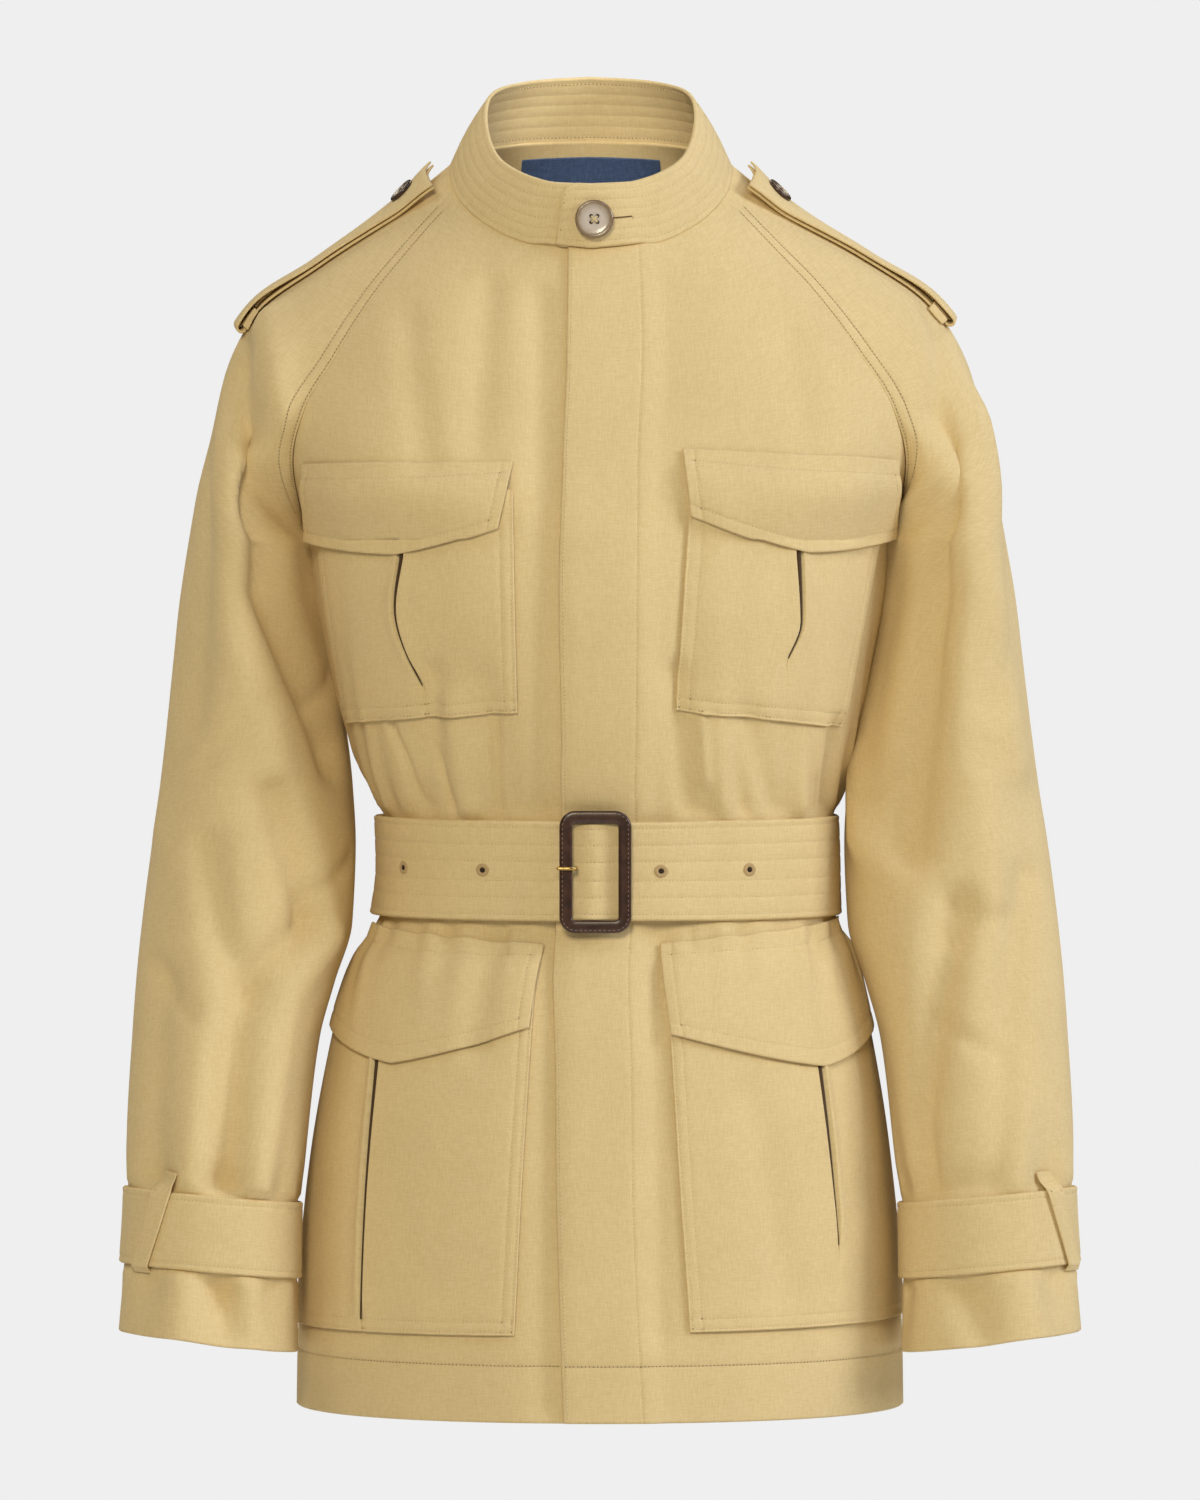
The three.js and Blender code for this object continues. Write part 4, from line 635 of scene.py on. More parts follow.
def sew(thread, path, pitch=STITCH["pitch"], wide=STITCH["wide"], holes=True):
    """Sews a row: path gives the points at a lift off the cloth."""
    low, high = path(0.0), path(1.0)
    along = run_along(low)
    count = int(along[-1] // pitch)
    if count < 1:
        return
    step = along[-1] / count

    def ground(where):
        """The places on the cloth at these distances along the row, and the way up from each."""
        foot, top = (np.stack([np.interp(where, along, grid[:, k]) for k in range(3)], axis=-1)
                     for grid in (low, high))
        return foot, unit(top - foot)

    # A bar has four cross sections, each a triangle that stands on the cloth
    foot, up = ground(((np.arange(count) + 0.12)[:, None] + np.array([0, 0.22, 0.78, 1]) * STITCH["length"]) * step)
    across = np.cross(up, unit(foot[:, -1:] - foot[:, :1]))
    w = np.array([0.3, 1, 1, 0.3])[None, :, None] * wide
    h = np.array([-0.35, 1, 1, -0.35])[None, :, None] * STITCH["high"]
    sink = np.array([-0.35, -0.1, -0.1, -0.35])[None, :, None]
    ring = np.stack([foot + across * w + up * sink, foot + up * h, foot - across * w + up * sink], axis=2)
    quads = [*grid_faces(4, 3), [2, 1, 0, 0], [9, 10, 11, 11]]
    first = 12 * np.arange(count)[:, None, None]
    sewn.setdefault(thread, []).append((ring.reshape(-1, 3), (first + np.array(quads)).reshape(-1, 4)))
    if holes:
        # A hole is a low cone with five sides, painted dark: painted shade for the hole's inside
        foot, up = ground((np.arange(count) + 0.96) * step)
        way = unit(np.gradient(foot, axis=0) if count > 1 else foot * 0 + [1, 0, 0])[:, None]
        turn = full_turn(5)[None, :, None]
        rim = foot[:, None] - 0.2 * up[:, None] + STITCH["hole"] * (
            way * np.cos(turn) + np.cross(up[:, None], way) * np.sin(turn))
        points = np.concatenate([rim, (foot + 0.13 * up)[:, None]], axis=1).reshape(-1, 3)
        cone = [[k, (k + 1) % 5, 5, 5] for k in range(5)] + [[0, 3, 2, 2], [0, 2, 1, 1], [0, 4, 3, 3]]
        first = 6 * np.arange(count)[:, None, None]
        pierced.append((points, (first + np.array(cone)).reshape(-1, 4)))


# Finishes

def colour(code):
    """A hex colour turned to linear light."""
    parts = [int(code[i:i + 2], 16) / 255 for i in (1, 3, 5)]
    return tuple(p / 12.92 if p <= 0.04045 else ((p + 0.055) / 1.055) ** 2.4 for p in parts) + (1,)


def add_node(tree, kind, settings=None, **inputs):
    """Adds a node with its settings. An input is a value, or another node's output to link."""
    made = tree.nodes.new(kind)
    for name, value in (settings or {}).items():
        setattr(made, name, value)
    for name, value in inputs.items():
        socket = made.inputs[int(name[1:])] if name[0] == "_" else made.inputs[name.replace("_", " ")]
        if isinstance(value, bpy.types.NodeSocket):
            tree.links.new(value, socket)
        else:
            socket.default_value = value
    return made


def new_finish(name, **constants):
    finish = bpy.data.materials.new(name)
    finish.use_nodes = True
    shader = finish.node_tree.nodes["Principled BSDF"]
    for key, value in constants.items():
        shader.inputs[key.replace("_", " ")].default_value = value
    return finish, finish.node_tree, shader


def noise(tree, where, size, detail=2.0, **more):
    """Noise with blobs about size millimetres wide."""
    return add_node(tree, "ShaderNodeTexNoise", None, Vector=where, Scale=1 / (size * MM), Detail=detail,
                    **more).outputs[0]


def ramp(tree, value, *stops):
    """Colours by a value, through stops that are each a place and a colour."""
    made = add_node(tree, "ShaderNodeValToRGB", None, Fac=value)
    marks = made.color_ramp.elements
    (marks[0].position, marks[0].color), (marks[1].position, marks[1].color) = stops[0], stops[-1]
    for at, tint in stops[1:-1]:
        marks.new(at).color = tint
    return made.outputs[0]


def woven(name, ground, dark, light, thread, slub, depth, **constants):
    """Plain woven cloth: warp and weft as stretched flecks of thread and slub, in the cut's coordinates."""
    finish, tree, shader = new_finish(name, **constants)
    cut = add_node(tree, "ShaderNodeUVMap", {"uv_map": "cut"}).outputs["UV"]

    def threads(wide, long, seed):
        scaled = add_node(tree, "ShaderNodeMapping", None, Vector=cut,
                          Scale=(1 / (wide * MM), 1 / (long * MM), 1), Location=(seed, seed, seed)).outputs[0]
        return add_node(tree, "ShaderNodeTexNoise", None, Vector=scaled, Scale=1.0, Detail=2.0,
                        Roughness=0.55).outputs[0]

    warp, weft = threads(thread, slub, 1.3), threads(slub, thread, 7.7)
    both = add_node(tree, "ShaderNodeMath", {"operation": "ADD"}, _0=warp, _1=weft).outputs[0]
    half = add_node(tree, "ShaderNodeMath", {"operation": "MULTIPLY"}, _0=both, _1=0.5).outputs[0]
    tone = ramp(tree, half, (0.36, colour(dark)), (0.5, colour(ground)), (0.64, colour(light)))
    # The dye takes a little unevenly, in patches about 40 mm wide
    shade = add_node(tree, "ShaderNodeMapRange", None, Value=threads(38, 60, 3.1), From_Min=0.3, From_Max=0.7,
                     To_Min=0.97, To_Max=1.02).outputs[0]
    mixed = add_node(tree, "ShaderNodeVectorMath", {"operation": "SCALE"}, _0=tone, Scale=shade)
    tree.links.new(mixed.outputs[0], shader.inputs["Base Color"])
    bump = add_node(tree, "ShaderNodeBump", None, Height=half, Strength=1.0, Distance=depth * MM)
    soft = add_node(tree, "ShaderNodeBump", None, Height=noise(tree, cut, 9, 1.0), Strength=1.0,
                    Distance=0.2 * MM, Normal=bump.outputs[0])
    tree.links.new(soft.outputs[0], shader.inputs["Normal"])
    return finish


def flecked(name, size, detail, low, high, **constants):
    """A finish between two colours by noise: low and high are each a place in it and a colour."""
    finish, tree, shader = new_finish(name, **constants)
    where = add_node(tree, "ShaderNodeTexCoord").outputs["Object"]
    value = noise(tree, where, size, detail)
    tree.links.new(ramp(tree, value, low, high), shader.inputs["Base Color"])
    return finish, tree, shader, where, value


def plain_thread(name, code):
    """Spun sewing thread, matt, with its twist as fine bands; also used for the painted shade in slits and needle
    holes.
    """
    base = colour(code)
    return flecked(name, 0.5, 1.0, (0.3, tuple(0.82 * v for v in base[:3]) + (1,)), (0.7, base),
                   Roughness=0.75, Sheen_Weight=0.15)[0]


def polished_leather():
    """Vegetable-tanned leather over a hard core: dark brown, waxed, with fine pores."""
    finish, tree, shader, where, mottle = flecked(
        "polished_leather", 6, 3.0, (0.35, colour("#2c1812")), (0.68, colour("#472a20")),
        Roughness=0.34, Coat_Weight=0.3, Coat_Roughness=0.25)
    pores = add_node(tree, "ShaderNodeTexVoronoi", {"feature": "DISTANCE_TO_EDGE"}, Vector=where,
                     Scale=1 / (0.9 * MM)).outputs[0]
    bump = add_node(tree, "ShaderNodeBump", None, Height=pores, Strength=0.5, Distance=0.08 * MM)
    tree.links.new(bump.outputs[0], shader.inputs["Normal"])
    return finish


def rubbed_brass():
    """Drawn brass wire, polished and slightly rubbed: a metal, with fine scratches in its gloss."""
    finish, tree, shader, where, rub = flecked(
        "rubbed_brass", 1.2, 4.0, (0, colour("#a8864a")), (1, colour("#d9bd7c")), Metallic=1.0)
    gloss = add_node(tree, "ShaderNodeMapRange", None, Value=rub, To_Min=0.2, To_Max=0.42).outputs[0]
    tree.links.new(gloss, shader.inputs["Roughness"])
    return finish


def pearly_button():
    """Turned shell-like button: grey-brown, streaked, with a pearly sheen and a darker rim."""
    finish, tree, shader = new_finish("pearly_button", Roughness=0.22, Coat_Weight=0.5, Coat_Roughness=0.1)
    where = add_node(tree, "ShaderNodeTexCoord").outputs
    from_middle = add_node(tree, "ShaderNodeSeparateXYZ", None, Vector=where["UV"]).outputs[0]
    grain = noise(tree, where["Object"], 4, 3.0, Distortion=1.2)
    uneven = add_node(tree, "ShaderNodeMapRange", None, Value=grain, To_Min=-0.08, To_Max=0.08).outputs[0]
    radius = add_node(tree, "ShaderNodeMath", {"operation": "ADD"}, _0=from_middle, _1=uneven).outputs[0]
    rings = ((0.0, "#b9aca3"), (0.45, "#c9beb6"), (0.72, "#b3a597"), (0.84, "#8d7860"), (1.0, "#7c6750"))
    tone = ramp(tree, radius, *((at, colour(code)) for at, code in rings))
    tree.links.new(tone, shader.inputs["Base Color"])
    return finish


# Cotton drill, piece-dyed: a dry matt face of threads 0.5 mm wide, with slubs
drill = woven("cotton_drill", "#dcc594", "#d6be8b", "#e2cc9d", thread=0.5, slub=5, depth=0.05,
              Roughness=0.88, Sheen_Weight=0.05, Sheen_Roughness=0.5)
# Navy woven satin of the neck tape: smoother and a little glossier than the drill
satin = woven("label_satin", "#41567d", "#384b6e", "#4e658f", thread=0.5, slub=4, depth=0.06, Roughness=0.5)
sand_thread = plain_thread("sand_thread", "#e6d2a4")
# Painted shade: a darker brown for the needle holes, where the holes are in shade
painted_needle_hole_shade = plain_thread("painted_needle_hole_shade", "#8a6f3c")
eyelet_thread = plain_thread("eyelet_thread", "#c0a376")
brown_thread = plain_thread("brown_thread", "#6d4a3a")
buckle_thread = plain_thread("buckle_thread", "#93705a")
# Painted shade: a dark brown for the buttonhole's slit, where the gap is in shade
painted_slit_shade = plain_thread("painted_slit_shade", "#5d3f20")
# Painted shade: a near-black brown for the tubes in the pleats' slits, where the open pleats are in shade
painted_shade_cloth = plain_thread("painted_shade_cloth", "#442c0c")
leather, brass, pearl = polished_leather(), rubbed_brass(), pearly_button()
# The unlit inside of a hole: nearly black brown, quite matt
dark = flecked("eyelet_inside", 0.6, 2.0, (0, colour("#20150c")), (1, colour("#3a2918")), Roughness=0.9)[0]

# Body panels

GRID = 3.6
FRONT_GRID = 2.6          # across the fronts, where the creases by the belt are narrow
PLACKET_GRID, BODY_GRID, HALF_GRID = 40, 215, 235   # nominal widths that the grids are drawn at
body_drops = lines(SEAM_GAP, FRONT_LENGTH, GRID, rows=(HEM_ROW,), edge=0.8)


def cloth(name, outer, inner, coords, nodes=None, loop=False,
          finish=None, slot="cloth"):
    """Makes a cloth piece, named for it, in place of the solids of the same name."""
    made = piece(name, outer, inner, coords, slot, finish or drill, nodes or (name,), loop)
    made.name = made.data.name = f"cloth_{name}"


def front_panel(side):
    drop = body_drops
    length = front.length(drop) - SEAM_GAP / 2
    edge = stitch_at(drop)
    if side == 1:
        placket = with_lines(lines(0, PLACKET_GRID, GRID, edge=0.8), 38.8, 39.5)
        body = with_lines(lines(0, BODY_GRID, FRONT_GRID), 0.45, 1.2)
        girth = np.concatenate([
            stretch(placket, PLACKET_GRID, lap_at(drop) + edge, 4) - lap_at(drop)[:, None],
            (edge[:, None] + stretch(body, BODY_GRID, length - edge))[:, 1:]], axis=1)
    else:
        start = 1.5 - edge
        girth = start[:, None] + stretch(lines(0, HALF_GRID, FRONT_GRID), HALF_GRID, length - start)
    down = np.broadcast_to(drop[:, None], girth.shape)
    rise = groove(down - HEM_ROW)
    if side == 1:
        rise = rise + placket_lift(girth, down) + groove(girth - edge[:, None])
    coords = np.stack([girth, -down], axis=-1)
    outer = front_point(side, girth, down, rise - EASE)
    inner = front_point(side, girth, down, rise - EASE - CLOTH)
    cloth(f"front_{WORD[side]}", outer, inner, coords)
    d = np.linspace(3, FRONT_LENGTH - 2, 400)
    if side == 1:
        sew("body", lambda up: front_point(1, stitch_at(d), d, PLACKET_RISE - EASE - 0.3 + up))
        sew("body", lambda up: front_point(1, 1.8 - lap_at(d), d, PLACKET_RISE - EASE + up))
        g = np.linspace(-float(lap_at(HEM_ROW)) + 2, float(front.length(HEM_ROW)) - 1, 200)
        sew("body", lambda up: front_point(1, g, g * 0 + HEM_ROW, placket_lift(g, HEM_ROW) - EASE + up))
    else:
        g = np.linspace(float(lap_at(HEM_ROW)) + 1, float(front.length(HEM_ROW)) - 1, 200)
        sew("body", lambda up: front_point(-1, g, g * 0 + HEM_ROW, -EASE + up))


def back_panel():
    drop = body_drops
    length = back.length(drop) - SEAM_GAP / 2
    right = stretch(lines(0, HALF_GRID, GRID), HALF_GRID, length)
    girth = np.concatenate([-right[:, :0:-1], right], axis=1)
    down = np.broadcast_to(drop[:, None], girth.shape)
    rise = groove(down - HEM_ROW)
    coords = np.stack([girth, -down], axis=-1)
    cloth("back", back_point(girth, down, rise - EASE), back_point(girth, down, rise - EASE - CLOTH), coords)
    g = np.linspace(-float(back.length(HEM_ROW)) + 1, float(back.length(HEM_ROW)) - 1, 400)
    sew("body", lambda up: back_point(g, g * 0 + HEM_ROW, -EASE + up))


front_panel(1)
front_panel(-1)
back_panel()

# Sleeves

RAGLAN_ROWS = (1.6, 7.6)  # the two rows beside a raglan seam, from the seam
SLEEVE_GRID = 120         # nominal width of a sleeve panel's grid
SLEEVE_INSET = 0.2        # from a seam's line to the panel's edge
sleeve_drops = lines(SEAM_GAP, SLEEVE_DROP, GRID, edge=0.8)


def sleeve_panel(side, is_front):
    surface = sleeve_front if is_front else sleeve_back
    drop = sleeve_drops
    length = surface.length(drop) - 2 * SLEEVE_INSET
    across = SLEEVE_INSET + stretch(lines(0, SLEEVE_GRID, GRID, rows=RAGLAN_ROWS), SLEEVE_GRID, length)
    down = np.broadcast_to(drop[:, None], across.shape)
    share = across / surface.length(drop)[:, None]
    sewn_part = smooth((ARMPIT_DROP - 4 - down) / 8)
    rise = sewn_part * sum(groove(across - row) for row in RAGLAN_ROWS)
    coords = np.stack([across, -down], axis=-1)
    at = lambda s, d, up: sleeve_point(side, is_front, s, d, up)
    cloth(f"sleeve_{'front' if is_front else 'back'}_{WORD[side]}", at(share, down, rise - EASE),
          at(share, down, rise - EASE - CLOTH), coords)
    d = np.linspace(7, ARMPIT_DROP - 4, 140)
    for row in RAGLAN_ROWS:
        sew("body", lambda up: at(row / surface.length(d), d, up - EASE))


for side in (1, -1):
    sleeve_panel(side, True)
    sleeve_panel(side, False)

# Collar

COLLAR_THICK, COLLAR_HEIGHT, COLLAR_CORNER, COLLAR_BULGE, COLLAR_LAP_TURN = 2.2, 36, 8, 1.4, 14
COLLAR_ROWS = (3, 9, 15, 21, 27, 33)
COLLAR_FIRST, COLLAR_LAST = -COLLAR_LAP_TURN, 375   # degrees round the neck from end to end
COLLAR_IN = 0.6           # how far the inner layer lies inside the neck seam


def collar_point(turn, height, lift):
    turn, height, lift = np.broadcast_arrays(*(np.asarray(v, float) for v in (turn, height, lift)))
    wrapped = (turn + 540) % 360 - 180
    side, a = np.where(wrapped < 0, -1, 1), np.radians(np.abs(wrapped))
    foot = ring_point(NECK, seam_height, np.abs(wrapped))
    head = ring_point(COLLAR_TOP, top_height, np.abs(wrapped))
    along = unit(head - foot)
    out = unit(stack(np.sin(a) / NECK["half"], -np.cos(a) / NECK["depth"], 0))
    out = unit(out - along * (out * along).sum(axis=-1, keepdims=True))
    bulged = lift + COLLAR_BULGE * np.sin(np.pi * height)
    return place(side, mix(foot, head, height[..., None]) + out * bulged[..., None])


def collar_layer(turn):
    """From the lapping end, round the back by the left, to the end beneath: one layer lower."""
    return (COLLAR_THICK + 0.7) * (1 - smooth((turn - 14) / 16))


def collar_level(turn, level):
    inside = np.maximum(0, COLLAR_CORNER - (turn + COLLAR_LAP_TURN) * math.radians(1) * COLLAR_TOP["depth"])
    corner = COLLAR_CORNER - np.sqrt(np.maximum(COLLAR_CORNER**2 - inside**2, 0))
    foot = -0.9 + 2.4 * smooth((28 - np.abs((turn + 180) % 360 - 180)) / 10)
    return mix(foot / COLLAR_HEIGHT, 1 - corner / COLLAR_HEIGHT, level)


def stand_collar():
    turn = np.concatenate([np.linspace(COLLAR_FIRST, -6, 17), np.linspace(-5, COLLAR_LAST - 1, 300),
                           [COLLAR_LAST - 0.5, COLLAR_LAST]])
    height = lines(0, COLLAR_HEIGHT, 2.4, rows=COLLAR_ROWS, edge=0.6)
    t, h = np.meshgrid(turn, height)
    level = collar_level(t, h / COLLAR_HEIGHT)
    rows = sum(groove(h - row) for row in COLLAR_ROWS)
    ends = smooth((t - COLLAR_FIRST) / 2) * smooth((COLLAR_LAST - t) / 2)
    outside = lambda turn: collar_layer(turn) + COLLAR_THICK - COLLAR_IN
    cloth("collar", collar_point(t, level, outside(t) + rows - 0.3 * (1 - ends)),
          collar_point(t, level, collar_layer(t) - COLLAR_IN * (1 + rows)), np.stack([t * 1.25, h], axis=-1))
    at = np.linspace(COLLAR_FIRST + 1.5, 352, 600)
    for row in COLLAR_ROWS:
        level = collar_level(at, row / COLLAR_HEIGHT)
        sew("collar", lambda up: collar_point(at, level, outside(at) - 0.3 + up))
    for row in (COLLAR_ROWS[0], COLLAR_ROWS[-1]):
        level = collar_level(at, row / COLLAR_HEIGHT)
        sew("collar", lambda up: collar_point(at, level, collar_layer(at) - COLLAR_IN - up))
    ends = np.linspace(3.5, 32.5, 60)
    at = COLLAR_FIRST + 1.4 + 0 * ends
    sew("collar", lambda up: collar_point(at, collar_level(at, ends / COLLAR_HEIGHT), outside(at) - 0.15 + up))


stand_collar()

# Pockets and flaps

PATCH = "side topIn topInZ topOut topOutZ lowIn lowInZ lowOut lowOutZ tip drop"
PATCH_CLOTH, PATCH_GAP = 1.3, 1.3
# For a pocket tip is the pleat's place at the top, and drop is 0; for a flap they are its point's
PATCHES = {
    "chest_pocket_right": (-1, 48.5, -164, 189, -164, 47.3, -287, 182, -294.6, 0.47, 0),
    "chest_flap_right": (-1, 48.2, -148.4, 182, -149.5, 56.5, -184.5, 196, -192, 0.42, 11.5),
    "chest_pocket_left": (1, 51.5, -158, 190, -160, 42.4, -286, 158, -296.7, 0.5, 0),
    "chest_flap_left": (1, 46.7, -141.3, 184, -148, 50.5, -178, 196, -190, 0.46, 14.5),
    "hip_pocket_right": (-1, 38, -436, 192, -436, 47.9, -631.8, 224, -633, 0.55, 0),
    "hip_flap_right": (-1, 35, -416.6, 176, -409, 40.4, -462.3, 192, -466, 0.53, 19.5),
    "hip_pocket_left": (1, 36, -436, 192, -434, 50.2, -630, 226, -628, 0.53, 0),
    "hip_flap_left": (1, 30.5, -416.2, 174, -405, 38.2, -466, 192, -466, 0.6, 20),
}
PATCHES = {name: dict(zip(PATCH.split(), row)) for name, row in PATCHES.items()}
# The pleats, as girths at three drops down each pocket
PLEATS = {
    "chest_pocket_right": ((113, 171), (118, 200), (103, 245)),
    "chest_pocket_left": ((113, 169), (115, 206), (106, 229)),
    "hip_pocket_right": ((133, 454), (139, 555), (141, 601)),
    "hip_pocket_left": ((128, 455), (135, 506), (141, 558)),
}


def drop_at_height(girth, z):
    """The drop at which the front reaches a height, at a girth."""
    drop = NECK_Z - z
    for _ in range(9):
        drop = np.clip(drop + front.bare(np.minimum(girth, front.length(drop)), drop)[..., 2] - z, 0, FRONT_LENGTH)
    return drop


def tent(across, tip):
    t = np.where(across < tip, across / tip, (1 - across) / (1 - tip))
    return t * (1.25 - 0.25 * t * t)


def hump(t):
    return np.sin(np.pi * np.clip(t, 0, 1)) ** 0.7


def patch_place(p, across, down):
    girth = mix(mix(p["topIn"], p["topOut"], across), mix(p["lowIn"], p["lowOut"], across), down)
    return girth, mix(mix(p["topInZ"], p["topOutZ"], across), mix(p["lowInZ"], p["lowOutZ"], across), down)


def patch_ground(p, across, down):
    """The girth and drop under a place on a patch."""
    girth, z = patch_place(p, across, down)
    drop = drop_at_height(girth, z - (p["drop"] * down * tent(across, p["tip"]) if p["drop"] else 0))
    return np.minimum(girth, front.length(drop) - 0.8), drop


def swell(bulge, across, down):
    return bulge * hump(across) * hump(down * 0.9 + 0.06)


def bulge_of(name):
    return 2.4 if "chest" in name else 2.8


PATCH_ROWS = (1.3, 6.8)
FLAP_ROW = 6.0
SLIT = {"half": 1.9, "least": 0.25, "deep": 3.4, "opens": 26, "beside": 10}
SLIT_LIPS = {"chest": (1.4, 1.4), "hip": (0.5, 2.6)}   # how high the slit's inner and outer sides stand
SLIT_SHADE_RADIUS = {"chest": 0.95, "hip": 1.3}              # radius of the painted shade tube at the slit's top
slit_shade_paths = []


def patch_grid(wide, high, spacing, rows, top=False):
    """Places across and down a patch, in millimetres, with lines beside its sewn rows."""
    side_rows = [*rows, *(wide - r for r in rows)]
    down_rows = [high - r for r in rows] + list(rows) * top
    return lines(0, wide, spacing, rows=side_rows), lines(0, high, spacing, rows=down_rows)


def over_placket(p, girth, drop):
    """How far the placket under a patch lifts it. Only the left front has one."""
    return placket_lift(girth, drop) if p["side"] == 1 else 0


def pocket(name):
    p, kind = PATCHES[name], name.split("_")[0]
    wide, high = p["lowOut"] - p["lowIn"], p["topInZ"] - p["lowInZ"]
    across, down = patch_grid(wide, high, GRID, PATCH_ROWS)
    on_pocket = lambda d: (mix(p["topIn"], p["lowIn"], d),
                           mix(p["topOut"], p["lowOut"], d) - mix(p["topIn"], p["lowIn"], d))
    line = np.array(PLEATS[name], float)
    pleat_girth = track(line[:, 1], line[:, 0])
    first, last = line[0, 1], line[-1, 1]
    left_of = lambda drop: np.clip((last - drop) / (last - first), 0, 1)
    # The pleat's line in millimetres across each row, and the slit that opens along it
    d = down / high
    left, width = on_pocket(d)
    row_drop = patch_ground(p, 0.5 + 0 * d, d)[1]
    pleat = (pleat_girth(row_drop) - left) / width * wide
    middle = float(np.median(pleat))
    half = (SLIT["half"] * np.sqrt(left_of(row_drop)) + SLIT["least"])[:, None]
    columns = np.concatenate([across[across < middle - 11] - middle, [-9.4, -6.4, -4, -2.4], [-1, -0.86, 0, 0.86, 1],
                              [2.4, 4, 6.4, 9.4], across[across > middle + 11] - middle])
    follow = smooth(1 - (np.abs(columns) - SLIT["beside"]) / 26)[None]
    in_slit = np.abs(columns) <= 1
    beside = np.where(in_slit, 0, np.sign(columns) * (2 - half)) * (np.abs(columns) < SLIT["beside"])
    off = np.where(in_slit, columns * half, columns - beside)
    grid = middle + off + (pleat - middle)[:, None] * follow
    a, b = grid / wide, np.broadcast_to(d[:, None], grid.shape)
    girth, drop = patch_ground(p, a, b)
    # Open, the lower side stands over the slit's floor by less than the upper one
    opened = smooth((last + 4 - drop) / SLIT["opens"])
    inside = (np.abs(columns) <= 0.9)[None]
    inner_lip, outer_lip = SLIT_LIPS[kind]
    lips = inner_lip * np.exp(-((off + 3) / 3.4) ** 2) + outer_lip * np.exp(-((off - 3) / 3) ** 2)
    closed = -0.6 * np.exp(-(off / 1.2) ** 2) * (1 - opened) * smooth((last + 26 - drop) / 14)
    body = np.maximum(0, swell(bulge_of(name), a, b) + opened * np.where(inside, -SLIT["deep"], lips) + closed)
    rows = sum(groove(grid - r) + groove(wide - grid - r) + groove((1 - b) * high - r) for r in PATCH_ROWS)
    under = over_placket(p, girth, drop)
    at = lambda lift: front_point(p["side"], girth, drop, lift + under)
    cloth(name, at(STANDOFF + PATCH_CLOTH + np.maximum(body + rows, -0.5)), at(STANDOFF + 0.8 * body),
          np.stack([girth, -drop], axis=-1))

    # Painted shade: a dark tube along the slit's floor stands for the shade inside the open pleat
    d = np.linspace(0.02, 0.98, 80)
    left, width = on_pocket(d)
    row_drop = patch_ground(p, 0.5 + 0 * d, d)[1]
    girth, share = pleat_girth(row_drop), left_of(row_drop)
    a = (girth - left) / width
    drop = patch_ground(p, a, d)[1]
    floor = STANDOFF + PATCH_CLOTH + 1.7 + np.maximum(0, swell(bulge_of(name), a, d) - SLIT["deep"])
    path = front_point(p["side"], girth, drop, floor + over_placket(p, girth, drop))
    shown = share > 0.02
    slit_shade_paths.append((path[shown], (SLIT_SHADE_RADIUS[kind] * np.sqrt(share) + 0.15)[shown]))

    def seam(a_mm, b_mm):
        s, t = a_mm / wide, b_mm / high
        g, dd = patch_ground(p, s, t)
        lift = STANDOFF + PATCH_CLOTH + swell(bulge_of(name), s, t) - 0.3 + over_placket(p, g, dd)
        sew("pockets", lambda up: front_point(p["side"], g, dd, lift + up))

    n = np.linspace(0, 1, 160)
    for r in PATCH_ROWS:
        seam(r + 0 * n, 4 + n * (high - r - 4))
        seam(wide - r + 0 * n, 4 + n * (high - r - 4))
        seam(mix(r, wide - r, n), high - r + 0 * n)


def flap(name, under_name):
    p, u = PATCHES[name], PATCHES[under_name]
    wide, high = p["lowOut"] - p["lowIn"], p["topInZ"] - p["lowInZ"]
    across, down = patch_grid(wide, high, 3.0, (FLAP_ROW,), top=True)
    point = p["tip"] * wide
    a, b = np.meshgrid(with_lines(across, point - 0.8, point, point + 0.8) / wide, down / high)

    def rise(a, b):
        girth, z = patch_place(p, a, b)
        along = np.clip((z - u["topInZ"]) / (u["lowInZ"] - u["topInZ"]), 0, 1)
        share = np.clip((girth - u["topIn"]) / (u["topOut"] - u["topIn"]), 0, 1)
        below = PATCH_CLOTH + swell(bulge_of(under_name), share, along) + PATCH_GAP
        flare = (1 if "hip" in name else 2.5) * smooth((a - 0.75) / 0.25) * b
        return STANDOFF + below * smooth((b - 0.08) / 0.25) + flare + 0.8 * b * hump(a)

    girth, drop = patch_ground(p, a, b)
    extra, base = over_placket(p, girth, drop), rise(a, b)
    rows = sum(groove(inside - FLAP_ROW) for inside in (a * wide, (1 - a) * wide, (1 - b) * high, b * high))
    at = lambda lift: front_point(p["side"], girth, drop, lift + extra)
    cloth(name, at(base + PATCH_CLOTH + rows), at(base), np.stack([girth, -drop], axis=-1))

    def seam(s, t):
        g, dd = patch_ground(p, s, t)
        lift = rise(s, t) + PATCH_CLOTH - 0.3 + over_placket(p, g, dd)
        sew("pockets", lambda up: front_point(p["side"], g, dd, lift + up))

    n = np.linspace(0, 1, 160)
    inset, low = FLAP_ROW / wide, FLAP_ROW / high
    seam(inset + 0 * n, mix(low, 1 - low, n))
    seam(1 - inset + 0 * n, mix(low, 1 - low, n))
    seam(mix(inset, 1 - inset, n), 1 - low + 0 * n)
    seam(mix(0.01, 0.99, n), low + 0 * n)


for name in PATCHES:
    if "pocket" in name:
        pocket(name)
    else:
        flap(name, name.replace("flap", "pocket"))

# Belt

BELT_MIDDLE = (WAIST_TOP + WAIST_BOTTOM) / 2
BELT_HALF, BELT_THICK, BELT_LIFT, BELT_TAIL, BELT_POINT = 27.3, 2.2, 1, 232, 15
BUCKLE_X = -8.6
waist_front, waist_back = float(front.length(BELT_MIDDLE)), float(back.length(BELT_MIDDLE))
waist_round = 2 * (waist_front + waist_back)
BELT_ROWS = (-24.5, -15, -5.5, 5.5, 15, 24.5)


